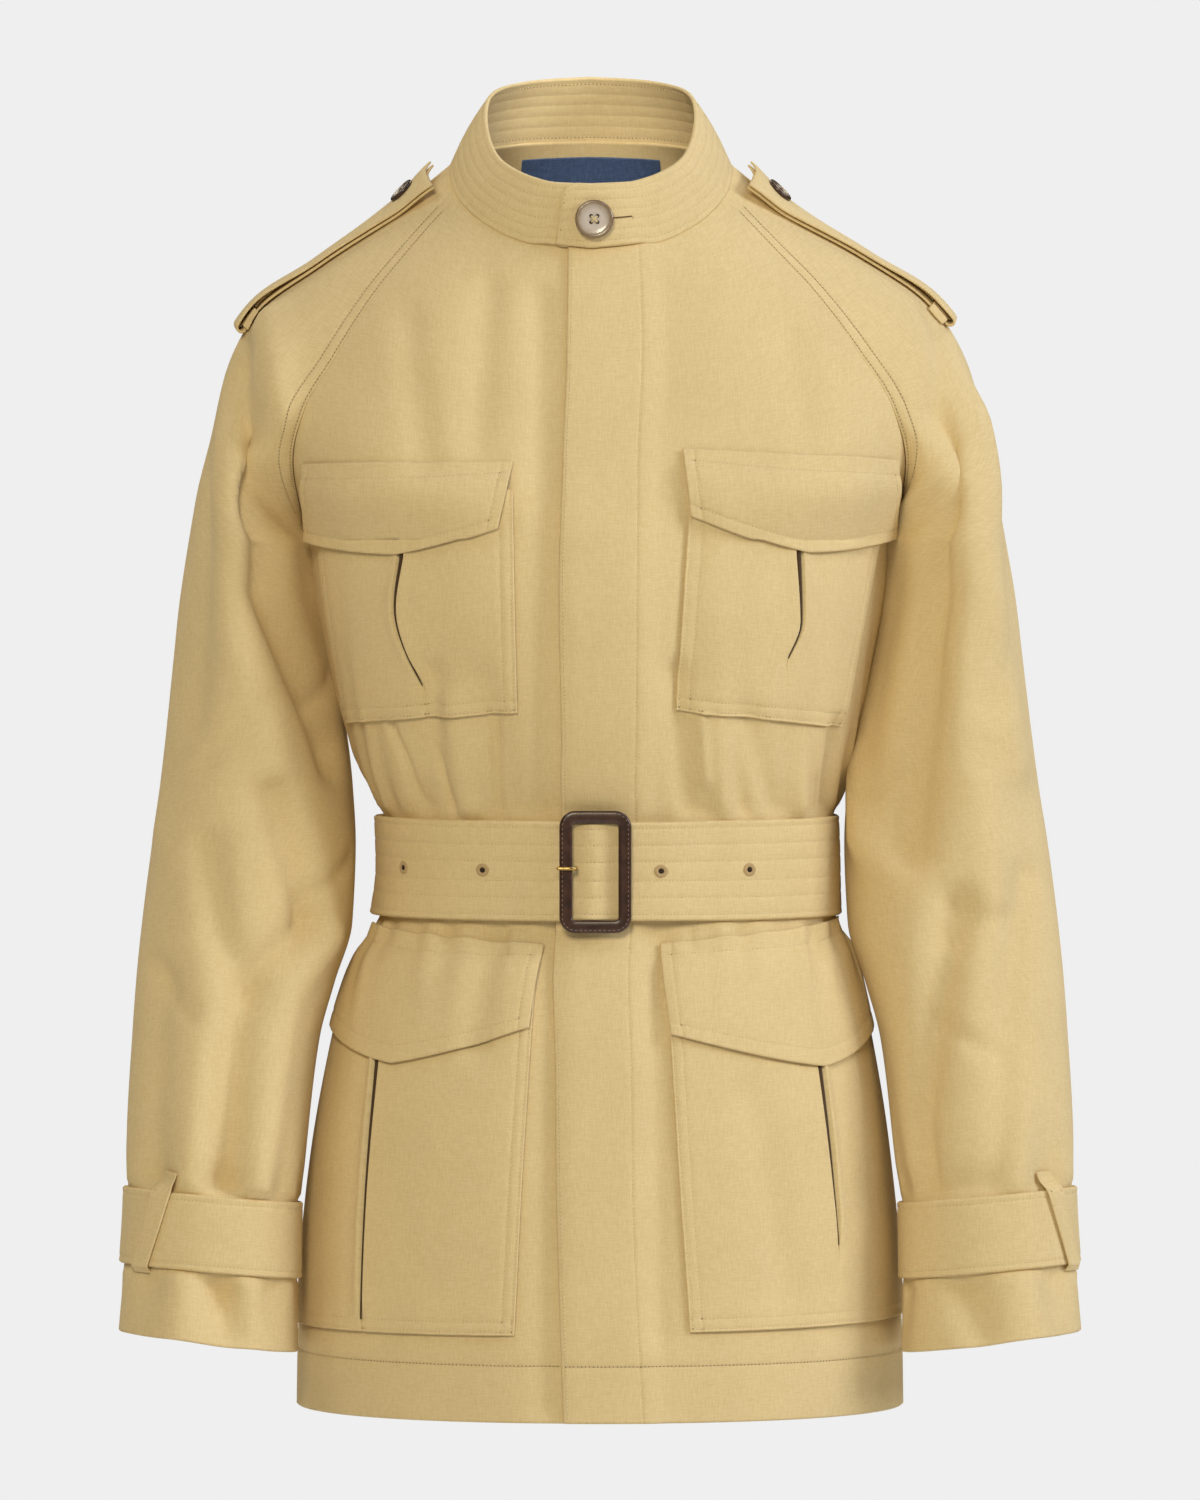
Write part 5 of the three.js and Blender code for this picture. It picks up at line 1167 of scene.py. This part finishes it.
def waist_point(distance, drop, lift):
    """distance runs from the centre front by the wearer's right, all the way round and on."""
    distance, drop, lift = np.broadcast_arrays(*(np.asarray(v, float) for v in (distance, drop, lift)))
    s = distance % waist_round
    front_length, back_length = front.length(drop), back.length(drop)
    is_right, is_left = s < waist_front, s > waist_round - waist_front
    g = np.where(is_right, s, waist_round - s) * front_length / waist_front
    before = place(np.where(is_right, -1, 1), front.lifted(np.minimum(g, front_length - 0.8), drop, lift))
    h = (s - waist_front - waist_back) * back_length / waist_back
    behind = place(np.where(h < 0, -1, 1), back.lifted(np.minimum(np.abs(h), back_length - 0.8), drop, lift))
    return np.where((is_right | is_left)[..., None], before, behind)


def belt_lift(s, across=0.0):
    """The belt's inner face, with the slight wave of a strap that has been worn."""
    over = s - waist_round
    wave = 0.28 * np.sin(s / 23) * np.sin(across / 17 + s / 61)
    second = smooth((over + 62) / 34)
    bar = 3.1 * np.exp(-(((over + BUCKLE_X) / 7.5) ** 2))
    near_end = PLACKET_RISE * (1 - smooth((s - 30) / 12))
    tail = np.where(over > 0, PLACKET_RISE * (1 - smooth((over - 30) / 12)), PLACKET_RISE * second)
    return BELT_LIFT + (BELT_THICK + 0.5) * second + bar + wave + np.where(s < 60, near_end, tail)


# Past the whole round, along the strap. One more, at 20.5, is hidden: the prong goes through it
EYELETS = (126.0, 70.8, -26.9, -78.6)
EYELET_DROP = 345.5
EYELET = {"hole": 1.7, "radius": 2.6, "wide": 1.15, "high": 0.55, "stitches": 22}


def belt():
    start, end = -BUCKLE_X + 2, waist_round + BELT_TAIL
    s = lines(start, end, 3.4, edge=0.8)
    half = lines(-BELT_HALF, BELT_HALF, 3.0, rows=BELT_ROWS, edge=0.7)
    across, along = np.meshgrid(half, s, indexing="ij")
    taper = 1 - 16 / BELT_HALF * np.clip((along - (end - BELT_POINT)) / BELT_POINT, 0, 1)
    rows = sum(groove(across - r) for r in BELT_ROWS)
    at = lambda lift: waist_point(along, BELT_MIDDLE + across * taper, lift)
    cloth("belt", at(belt_lift(along, across) + BELT_THICK + rows), at(belt_lift(along, across)),
          np.stack([along, -across], axis=-1))
    line = np.linspace(start + 2, end - BELT_POINT - 1, 700)
    for r in BELT_ROWS:
        sew("belt", lambda up: waist_point(line, BELT_MIDDLE + r, belt_lift(line, r) + BELT_THICK - 0.3 + up))


belt()


def eyelet(over):
    """A hole bound with buttonhole stitches: a ring with a ridge for each, round a dark disc."""

    def at(radius, angle, up):
        s, drop = waist_round + over + radius * np.cos(angle), EYELET_DROP + radius * np.sin(angle)
        return waist_point(s, drop, belt_lift(s, drop - BELT_MIDDLE) + BELT_THICK + up).reshape(-1, 3)

    turn, roll = np.meshgrid(full_turn(110), full_turn(10), indexing="ij")
    high = EYELET["high"] * (1 + 0.16 * np.cos(EYELET["stitches"] * turn))
    ring = at(EYELET["radius"] + EYELET["wide"] * np.cos(roll), turn, 0.1 + high * np.sin(roll))
    a = full_turn(24)
    disc = np.concatenate([at(radius, turned, up) for radius, turned in ((EYELET["hole"], a), (0, a[:1]))
                           for up in (-0.3, 0.2)])
    return closed_solid(ring, grid_faces(*turn.shape, closed=True)), closed_solid(disc, capped_faces(2, len(a)))


bindings, holes = zip(*(eyelet(over) for over in EYELETS))
dress(build_mesh("eyelet_binding", *joined(bindings)), "cloth", eyelet_thread)
dress(build_mesh("eyelet_holes", *joined(holes)), "cloth", dark)

# Buckle

BUCKLE = {"width": 40, "height": 68, "rim": 7.2, "corner": 9, "thick": 3.6, "row": 1.9}
buckle_foot = waist_point(waist_round - BUCKLE_X, BELT_MIDDLE, 0)
FRAME_BACK = BELT_LIFT + 2 * BELT_THICK + 0.5 + PLACKET_RISE + 2.1
buckle_at = buckle_foot + np.array([0, -FRAME_BACK, 0])


def rounded_path(width, height, corner, step):
    """Points and outward directions round a rectangle with round corners, in x and z."""
    points, ways = [], []
    x, z = width / 2 - corner, height / 2 - corner
    for cx, cz, start in ((x, z, 0), (-x, z, 90), (-x, -z, 180), (x, -z, 270)):
        for a in np.radians(np.linspace(start, start + 90, 9)):
            points.append((cx + corner * math.cos(a), cz + corner * math.sin(a)))
            ways.append((math.cos(a), math.sin(a)))
    fine, out = [], []
    for i in range(len(points)):
        j = (i + 1) % len(points)
        gap = math.dist(points[i], points[j])
        n = max(1, int(gap / step))
        for k in range(n):
            fine.append(mix(np.array(points[i]), np.array(points[j]), k / n))
            out.append(mix(np.array(ways[i]), np.array(ways[j]), k / n))
    return np.array(fine), unit(np.array(out))


def buckle_frame():
    rim, thick = BUCKLE["rim"], BUCKLE["thick"]
    path, out = rounded_path(BUCKLE["width"] - rim, BUCKLE["height"] - rim, BUCKLE["corner"] - rim / 2, 2.0)
    a = full_turn(20)
    # A flat oval section: leather drawn over a core, thicker along the middle
    sx = rim / 2 * np.sign(np.cos(a)) * np.abs(np.cos(a)) ** 0.62
    sy = thick / 2 * np.sign(np.sin(a)) * np.abs(np.sin(a)) ** 0.72
    wide = path[:, None] + out[:, None] * sx[None, :, None]
    points = stack(wide[..., 0], -thick / 2 - sy, wide[..., 1]).reshape(-1, 3)
    frame_faces = grid_faces(len(path), len(a), closed=True)
    bar = [block((-1.5, 2.2, -31.5), (1.5, 4.2, 31.5), 0.4)]
    bar += [block((-1.5, -0.6, end - 1.5), (1.5, 4, end + 1.5), 0.4) for end in (-30, 30)]
    points, faces = joined([closed_solid(points, frame_faces), *bar])
    dress(build_mesh("leather_buckle_frame", points + buckle_at, faces), "leather", leather, ["buckle_frame"])
    edge = path + out * BUCKLE["row"]
    edge = np.vstack([edge, edge[:1]])
    sew("buckle", lambda up: stack(edge[:, 0], -thick + 0.12 - up, edge[:, 1]) + buckle_at, pitch=2.6, wide=0.3,
        holes=False)


def block(low, high, soft):
    """A box with its edges cut off."""
    low, high = np.array(low, float), np.array(high, float)
    points = []
    for z in (low[2], low[2] + soft, high[2] - soft, high[2]):
        inset = soft if z in (low[2], high[2]) else 0
        x0, x1, y0, y1 = low[0] + inset, high[0] - inset, low[1] + inset, high[1] - inset
        points += [(x0 + soft, y0, z), (x1 - soft, y0, z), (x1, y0 + soft, z), (x1, y1 - soft, z),
                   (x1 - soft, y1, z), (x0 + soft, y1, z), (x0, y1 - soft, z), (x0, y0 + soft, z)]
    faces = [*grid_faces(4, 8)]
    faces += [[0, k + 1, k, k] for k in range(1, 7)] + [[24, 24 + k, 25 + k, 25 + k] for k in range(1, 7)]
    points, faces = np.array(points), np.array(faces)
    return points, outward(points, faces)


def tube(path, radii, around=14):
    """A round wire along points, with its own radius at each one, closed at both ends."""
    way = unit(np.gradient(path, axis=0))
    side = unit(np.cross(way, [0.13, 0.2, 0.97]))
    a = full_turn(around)[None, :, None]
    ring = path[:, None] + radii[:, None, None] * (
        side[:, None] * np.cos(a) + np.cross(side, way)[:, None] * np.sin(a))
    points = np.concatenate([ring.reshape(-1, 3), path[:1], path[-1:]])
    return closed_solid(points, capped_faces(len(path), around))


def buckle_prong():
    front_of = BUCKLE["thick"] + 1.1 + 0.3
    key = np.array([(-10.6, 1.2), (-10.8, -2), (-11.4, -front_of + 0.9), (-13.2, -front_of), (-17, -front_of),
                    (-20, -front_of), (-21.6, -front_of + 0.3)], float)
    t = np.linspace(0, len(key) - 1, 40)
    x, y = (np.interp(t, np.arange(len(key)), key[:, i]) for i in range(2))
    kernel = np.ones(5) / 5
    x[2:-2], y[2:-2] = np.convolve(x, kernel, "valid"), np.convolve(y, kernel, "valid")
    radii = 1.1 * np.sqrt(np.clip((1.02 - np.linspace(0, 1, 40)) / 0.12, 0, 1))
    radii[0] = 0.9
    points, faces = tube(np.stack([x, y, 0 * x], axis=-1) + buckle_at + np.array([0, 0, 2]), radii)
    dress(build_mesh("brass_buckle_prong", points, faces), "brass", brass, ["buckle_prong"])


buckle_frame()
buckle_prong()

# Shoulder straps

STRAP = {"neck": 5.5, "end": 92.5, "halfNeck": 17, "halfEnd": 24, "thick": 1.4, "lower": 1.7, "upper": 4.1,
         "rise": 2.6, "tilt": 4}
STRAP_ROW = 0.76          # the sewn rows, as a share of the half width
STRAP_STEPS = 34          # places along each layer of a strap
line_drops = np.arange(0, 132, 2.0)
line_points = sleeve_point(1, True, np.ones(len(line_drops)), line_drops, 0)
line_along = run_along(line_points)
strap_from, strap_to = (float(np.interp(STRAP[k], line_drops, line_along)) for k in ("neck", "end"))


def shoulder_point(side, along, across, lift):
    """across is in millimetres, over 0 toward the front."""
    along, across, lift = np.broadcast_arrays(*(np.asarray(v, float) for v in (along, across, lift)))
    drop = np.interp(along, line_along, line_drops)
    f = sleeve_point(side, True, 1 - np.abs(across) / sleeve_front.length(drop), drop, lift)
    b = sleeve_point(side, False, 1 - np.abs(across) / sleeve_back.length(drop), drop, lift)
    return np.where((across >= 0)[..., None], f, b)


def neck_rise(t):
    return STRAP["tilt"] * (1 - smooth(t / 0.22))


def strap_path():
    t = np.linspace(0, 1, STRAP_STEPS)
    gap = (STRAP["upper"] + STRAP["rise"] - STRAP["lower"]) / 2
    a = np.radians(np.linspace(-80, 80, 11))
    lower = np.stack([mix(strap_from, strap_to, t), STRAP["lower"] + neck_rise(t)], axis=1)
    turn = np.stack([strap_to + 1 + 1.1 * gap * np.cos(a), STRAP["lower"] + gap + gap * np.sin(a)], axis=1)
    upper = np.stack([mix(strap_from, strap_to, t),
                      STRAP["upper"] + neck_rise(t) + STRAP["rise"] * smooth((t - 0.6) / 0.4)], axis=1)[::-1]
    return np.concatenate([lower, turn, upper])


def half_width(along):
    return mix(STRAP["halfNeck"], STRAP["halfEnd"], np.clip((along - strap_from) / (strap_to - strap_from), 0, 1))


def shoulder_strap(side):
    word, path = WORD[side], strap_path()
    way = unit(np.gradient(path, axis=0))
    normal = np.stack([way[:, 1], -way[:, 0]], axis=1)
    share = with_lines(lines(-1, 1, 0.14, edge=0.035), -0.8, -STRAP_ROW, -0.72, 0.72, STRAP_ROW, 0.8)
    rows = ROW_DEPTH * np.exp(-(((np.abs(share) - STRAP_ROW) / 0.035) ** 2))

    def layer(way_off, sink):
        off = way_off * STRAP["thick"] / 2
        p = path[:, None] + normal[:, None] * (off - sink)[None, :, None]
        across = share[None] * half_width(p[..., 0])
        return shoulder_point(side, p[..., 0], across, p[..., 1])

    outer, inner = layer(-1, -rows), layer(1, 0 * share)
    along = run_along(path)
    coords = np.stack(np.meshgrid(share * 20, -along), axis=-1)
    cloth(f"shoulder_strap_{word}", inner, outer, coords)
    top = path[-STRAP_STEPS:][::-1]
    for way_over in (-STRAP_ROW, STRAP_ROW):
        sew("shoulder_straps", lambda up: shoulder_point(side, top[:, 0], way_over * half_width(top[:, 0]),
                                                top[:, 1] + STRAP["thick"] / 2 - 0.25 + up))


CARRIER = {"half": 27, "width": 11, "thick": 1.2}


def strap_carrier(side):
    middle = strap_to - 6
    over = STRAP["lower"] + STRAP["thick"] / 2 + 0.4 + CARRIER["thick"] / 2
    end = np.array([27, 26.4, 25.8, 25.2, 24.6, 24, 23])
    c = np.concatenate([-end, np.linspace(-20, 20, 15), end[::-1]])
    v = np.array([-0.5, -0.44, -0.25, 0, 0.25, 0.44, 0.5]) * CARRIER["width"]
    cc, vv = np.meshgrid(c, v)
    lift = mix(STANDOFF + CARRIER["thick"] / 2, over, smooth((CARRIER["half"] - np.abs(cc)) / 2.6))
    at = lambda off: shoulder_point(side, middle + vv, cc, lift + off)
    cloth(f"strap_carrier_{WORD[side]}", at(CARRIER["thick"] / 2), at(-CARRIER["thick"] / 2),
          np.stack([cc, vv], axis=-1))


for side in (1, -1):
    shoulder_strap(side)
    strap_carrier(side)

# Cuff straps

CUFF_LIFT, CUFF_THICK, LOOP_THICK = STANDOFF, 2, 1.3
CUFF_ROWS = (STRAP_TOP + 3, STRAP_BOTTOM - 3)


def ring_place(side, around, drop, lift):
    f = sleeve_point(side, True, np.clip(around, 0, 1), drop, lift, gathered=False)
    b = sleeve_point(side, False, np.clip(2 - around, 0, 1), drop, lift, gathered=False)
    return np.where((around <= 1)[..., None], f, b)


def cuff_strap(side):
    drop = lines(STRAP_TOP, STRAP_BOTTOM, 3, rows=CUFF_ROWS, edge=0.6)
    a, d = np.meshgrid(np.linspace(0, 2, 97), drop)
    rows = sum(groove(d - row) for row in CUFF_ROWS)
    outer, inner = (ring_place(side, a, d, CUFF_LIFT + up)[:, :-1] for up in (CUFF_THICK + rows, 0 * rows))
    cloth(f"cuff_strap_{WORD[side]}", outer, inner, np.stack([a * 150, -d], axis=-1), loop=True)
    s = np.linspace(0.005, 1.995, 300)
    for row in CUFF_ROWS:
        sew("cuffs", lambda up: ring_place(side, s, s * 0 + row, CUFF_LIFT + CUFF_THICK - 0.3 + up))


# Its shares round the sleeve's front at the top and the bottom, and the drops of both ends
LOOPS = {1: (0.72, 0.84, 520, 577), -1: (0.65, 0.76, 519, 577)}


def cuff_loop(side):
    top_share, low_share, top, low = LOOPS[side]
    over = CUFF_LIFT + CUFF_THICK + 1
    share_at = lambda d, off: mix(top_share, low_share, (d - top) / (low - top)) + off / sleeve_front.length(d)
    drop = np.concatenate([np.linspace(top, top + 9, 9), np.linspace(top + 12, low - 5, 12),
                           np.linspace(low - 4, low, 7)])
    vv, d = np.meshgrid(np.array([-0.5, -0.44, -0.3, 0, 0.3, 0.44, 0.5]) * 11, drop)
    lift = mix(STANDOFF, over, smooth((d - top) / 9) * smooth((low - d) / 3.4))
    at = lambda off: sleeve_point(side, True, share_at(d, vv), d, lift + off)
    cloth(f"cuff_loop_{WORD[side]}", at(LOOP_THICK), at(0), np.stack([vv, -d], axis=-1))
    d1 = np.linspace(top + 9, low - 5, 60)
    for edge in (-3.6, 3.6):
        sew("cuffs", lambda up: sleeve_point(side, True, share_at(d1, edge), d1, over + LOOP_THICK + up - 0.05))


for side in (1, -1):
    cuff_strap(side)
for side in LOOPS:
    cuff_loop(side)

# Buttons

def button_mesh(name, radius, thick, foot, up, slot, finish, node, thread):
    """A turned button with a dished face, a soft rim and four sewn holes."""
    face, spread = thick - 0.85, radius * 0.165
    rings = [(radius - 1.2, 0), (radius - 0.3, 0.35), (radius, 0.9), (radius, thick - 0.9),
             (radius - 0.25, thick - 0.3), (radius - 0.9, thick), (radius - 1.7, thick - 0.05),
             (radius - 2.4, thick - 0.5), (radius - 3.2, thick - 0.75), (radius * 0.45, face)]
    a = full_turn(48)
    points = np.concatenate([stack(r * np.cos(a), r * np.sin(a), h) for r, h in rings] + [[[0, 0, 0], [0, 0, face]]])
    faces = outward(points, capped_faces(len(rings), len(a)))
    away = np.hypot(points[:, 0], points[:, 1]) / radius / MM
    up = unit(np.asarray(up, float))
    side = unit(np.cross([0, 0, 1] if abs(up[2]) < 0.9 else [1, 0, 0], up))
    turn = np.stack([side, np.cross(up, side), up], axis=1)
    spin = lambda p: np.asarray(p, float) @ turn.T + foot
    uv = np.stack([away[faces], 0 * away[faces]], axis=-1)
    dress(build_mesh(name, spin(points), faces, uv), slot, finish, [node])
    # Holes as dark wells, and the thread that crosses between them
    wells, b, hole = [], full_turn(14), radius * 0.1
    for x, y in ((1, 1), (1, -1), (-1, -1), (-1, 1)):
        x, y = x * spread, y * spread
        well = [stack(x + hole * np.cos(b), y + hole * np.sin(b), face + h) for h in (-0.27, 0.03)]
        well.append([[x, y, face - 0.27], [x, y, face + 0.03]])
        wells.append(closed_solid(spin(np.concatenate(well)), capped_faces(2, len(b))))
    dress(build_mesh(f"{name}_holes", *joined(wells)), slot, dark)
    strands, t = [], np.linspace(0, 1, 9)
    for y0 in (1, -1):
        for off in (-0.28, 0.28):
            px, py = mix(spread, -spread, t) + off * y0 * 0.7, y0 * mix(spread, -spread, t) - off * 0.7
            pz = face - 0.25 + (0.75 if y0 > 0 else 1) * np.sin(np.pi * t) ** 0.6
            strands.append(tube(spin(stack(px, py, pz)), 0.26 + 0 * t, 8))
    dress(build_mesh(f"{name}_thread", *joined(strands)), "cloth", thread)


BUTTON_TURN, BUTTON_LEVEL = 1.4, 0.46   # round the neck, and up the collar
button_foot = collar_point(BUTTON_TURN, BUTTON_LEVEL, 2 * COLLAR_THICK + 0.7)
button_up = button_foot - collar_point(BUTTON_TURN, BUTTON_LEVEL, COLLAR_THICK + 2)
button_mesh("pearly_collar_button", 10.75, 3.2, button_foot, button_up, "button", pearl, "collar_button",
            sand_thread)


def strap_button(side):
    along = strap_from + 17
    top = lambda off, across: shoulder_point(
        side, along + off, across,
        STRAP["upper"] + STRAP["thick"] / 2 + neck_rise((along + off - strap_from) / (strap_to - strap_from)))
    up = unit(np.cross(top(9, 0) - top(-9, 0), top(0, 7) - top(0, -7)))
    up = up if up[2] > 0 else -up
    rests = [top(-9, 0), top(9, 0), top(0, 0), top(-4, 6), top(-4, -6)]
    middle = top(0, 0)
    foot = middle + up * (max(p @ up for p in rests) - middle @ up - 0.55)
    button_mesh(f"leather_strap_button_{WORD[side]}", 8, 2.6, foot, up, "leather", leather,
                f"strap_button_{WORD[side]}", brown_thread)


for side in (1, -1):
    strap_button(side)


def buttonhole():
    """A slit bound with close stitches, from the button to the wearer's left, with a bar across its end."""
    start, end = (BUTTON_TURN + math.degrees(v / 67) for v in (4, 19.5))
    at = lambda turn, off, lift: collar_point(turn, BUTTON_LEVEL + off / COLLAR_HEIGHT,
                                              collar_layer(turn) + COLLAR_THICK - COLLAR_IN + lift)
    for t in np.linspace(start, end, 36):
        for way in (-1, 1):
            bite = way * np.linspace(0.28, 1.4, 4)
            sew("buttonhole", lambda up: at(t, bite, up - 0.1), pitch=1.1, wide=0.24, holes=False)
    bar = np.linspace(-2.6, 2.6, 8)
    for t in (end + 0.3, end + 0.8):
        sew("buttonhole", lambda up: at(t, bar, up - 0.02), pitch=5, wide=0.3, holes=False)
    slit = np.linspace(start, end, 24)
    # Painted shade: a dark tube along the slit stands for the shade in the open buttonhole
    inside = tube(at(slit, 0 * slit, -0.02), 0.34 + 0 * slit, 8)
    dress(build_mesh("buttonhole_slit", *inside), "cloth", painted_slit_shade)


buttonhole()

# Label

LABEL = {"half": 40.5, "top": 8, "low": 39, "thick": 0.7, "gap": 0.9}


def neck_label():
    g = lines(-LABEL["half"], LABEL["half"], 3)
    d = lines(LABEL["top"], LABEL["low"], 2.4)
    girth, down = np.meshgrid(g, d)
    depth = -EASE - CLOTH - LABEL["gap"]
    cloth("label", back_point(girth, down, depth), back_point(girth, down, depth - LABEL["thick"]),
          np.stack([girth, -down], axis=-1), finish=satin, slot="label_cloth")


neck_label()

# Sewing finished

for thread in ("body", "collar", "pockets", "belt", "shoulder_straps", "cuffs", "buckle", "buttonhole"):
    slot, finish = ("leather", buckle_thread) if thread == "buckle" else ("cloth", sand_thread)
    dress(build_mesh(f"stitches_{thread}", *joined(sewn[thread])), slot, finish)
# Painted shade: dark tubes in the pleats' slits stand for the shade inside them
painted_pleat_shade = [tube(path, radii, 10) for path, radii in slit_shade_paths]
dress(build_mesh("painted_pleat_shade", *joined(painted_pleat_shade)), "cloth", painted_shade_cloth)
# Painted shade: dark cones at the needle holes stand for the shade in them
dress(build_mesh("needle_holes", *joined(pierced)), "cloth", painted_needle_hole_shade)

# Floor and light

def studio():
    """A round pale floor below the jacket, which throws light up at it and isn't seen itself."""
    radius, level = 6000, -1350
    turn = full_turn(96)
    points = np.concatenate([stack(radius * np.cos(turn), radius * np.sin(turn), level), [[0, 0, level]]])
    i = np.arange(len(turn))
    middle = len(turn) + 0 * i
    floor = build_mesh("floor", points, np.stack([i, (i + 1) % len(turn), middle, middle], 1))
    paper = flecked("matt_pale_paper", 1000 / 3, 2.0, (0, colour("#e6e6e6")), (1, colour("#e9e9e9")),
                    Roughness=0.95)
    floor.data.materials.append(paper[0])
    floor.visible_camera = False


studio()


LIGHT_AIM = Vector((0, 0, -0.3))
LIGHT_AWAY = 4.6          # metres from the jacket's middle to each soft light
BEAM_AIM, BEAM_AWAY = Vector((-0.005, 0.06, 0.038)), 3


def light(name, kind, aim, away, turn, height, power, **settings):
    """A light on a sphere round what it aims at: turn is in degrees from the front, over 0 to +X."""
    data = bpy.data.lights.new(name, kind)
    data.energy = power
    for key, value in settings.items():
        setattr(data, key, value)
    a, e = math.radians(turn), math.radians(height)
    made = bpy.data.objects.new(name, data)
    made.location = aim + away * Vector((math.sin(a) * math.cos(e), -math.cos(a) * math.cos(e), math.sin(e)))
    made.rotation_euler = (aim - made.location).to_track_quat("-Z", "Y").to_euler()
    bpy.context.scene.collection.objects.link(made)


for name, turn, height, size, power, tint in (
        ("key_at_the_right", 69, 22, 1.6, 97, "#fbfdff"), ("high_at_the_right", 57, 55, 1.5, 42, "#cfe0ff"),
        ("front", -10, 26, 1.3, 98, "#fff4d6"), ("high_at_the_left", -60, 52, 1.5, 24, "#eef2ff"),
        ("low_at_the_left", -84, 12, 1.5, 5, "#ffffff"), ("back_left", 140, 40, 1.8, 60, "#fff3d8"),
        ("back_right", -140, 40, 1.8, 60, "#fff3d8")):
    light(name, "AREA", LIGHT_AIM, LIGHT_AWAY, turn, height, power, shape="SQUARE", size=size,
          color=colour(tint)[:3])
# A narrow beam over the front of the collar onto its inside
light("inside_the_collar", "SPOT", BEAM_AIM, BEAM_AWAY, 0, 14, 140, spot_size=math.radians(2.3), spot_blend=0.4,
      shadow_soft_size=0.02)


def studio_air():
    """A low warm light from all round, and the pale grey that is seen behind the jacket."""
    world = bpy.data.worlds.new("studio_air")
    world.use_nodes = True
    tree = world.node_tree
    air = tree.nodes["Background"]
    air.inputs["Color"].default_value, air.inputs["Strength"].default_value = colour("#ffe6a8"), 0.05
    seen = add_node(tree, "ShaderNodeBackground", None, Color=colour("#efefef"), Strength=1.0)
    path = add_node(tree, "ShaderNodeLightPath")
    both = add_node(tree, "ShaderNodeMixShader", None, _0=path.outputs["Is Camera Ray"], _1=air.outputs[0],
                    _2=seen.outputs[0])
    tree.links.new(both.outputs[0], tree.nodes["World Output"].inputs["Surface"])
    bpy.context.scene.world = world


studio_air()
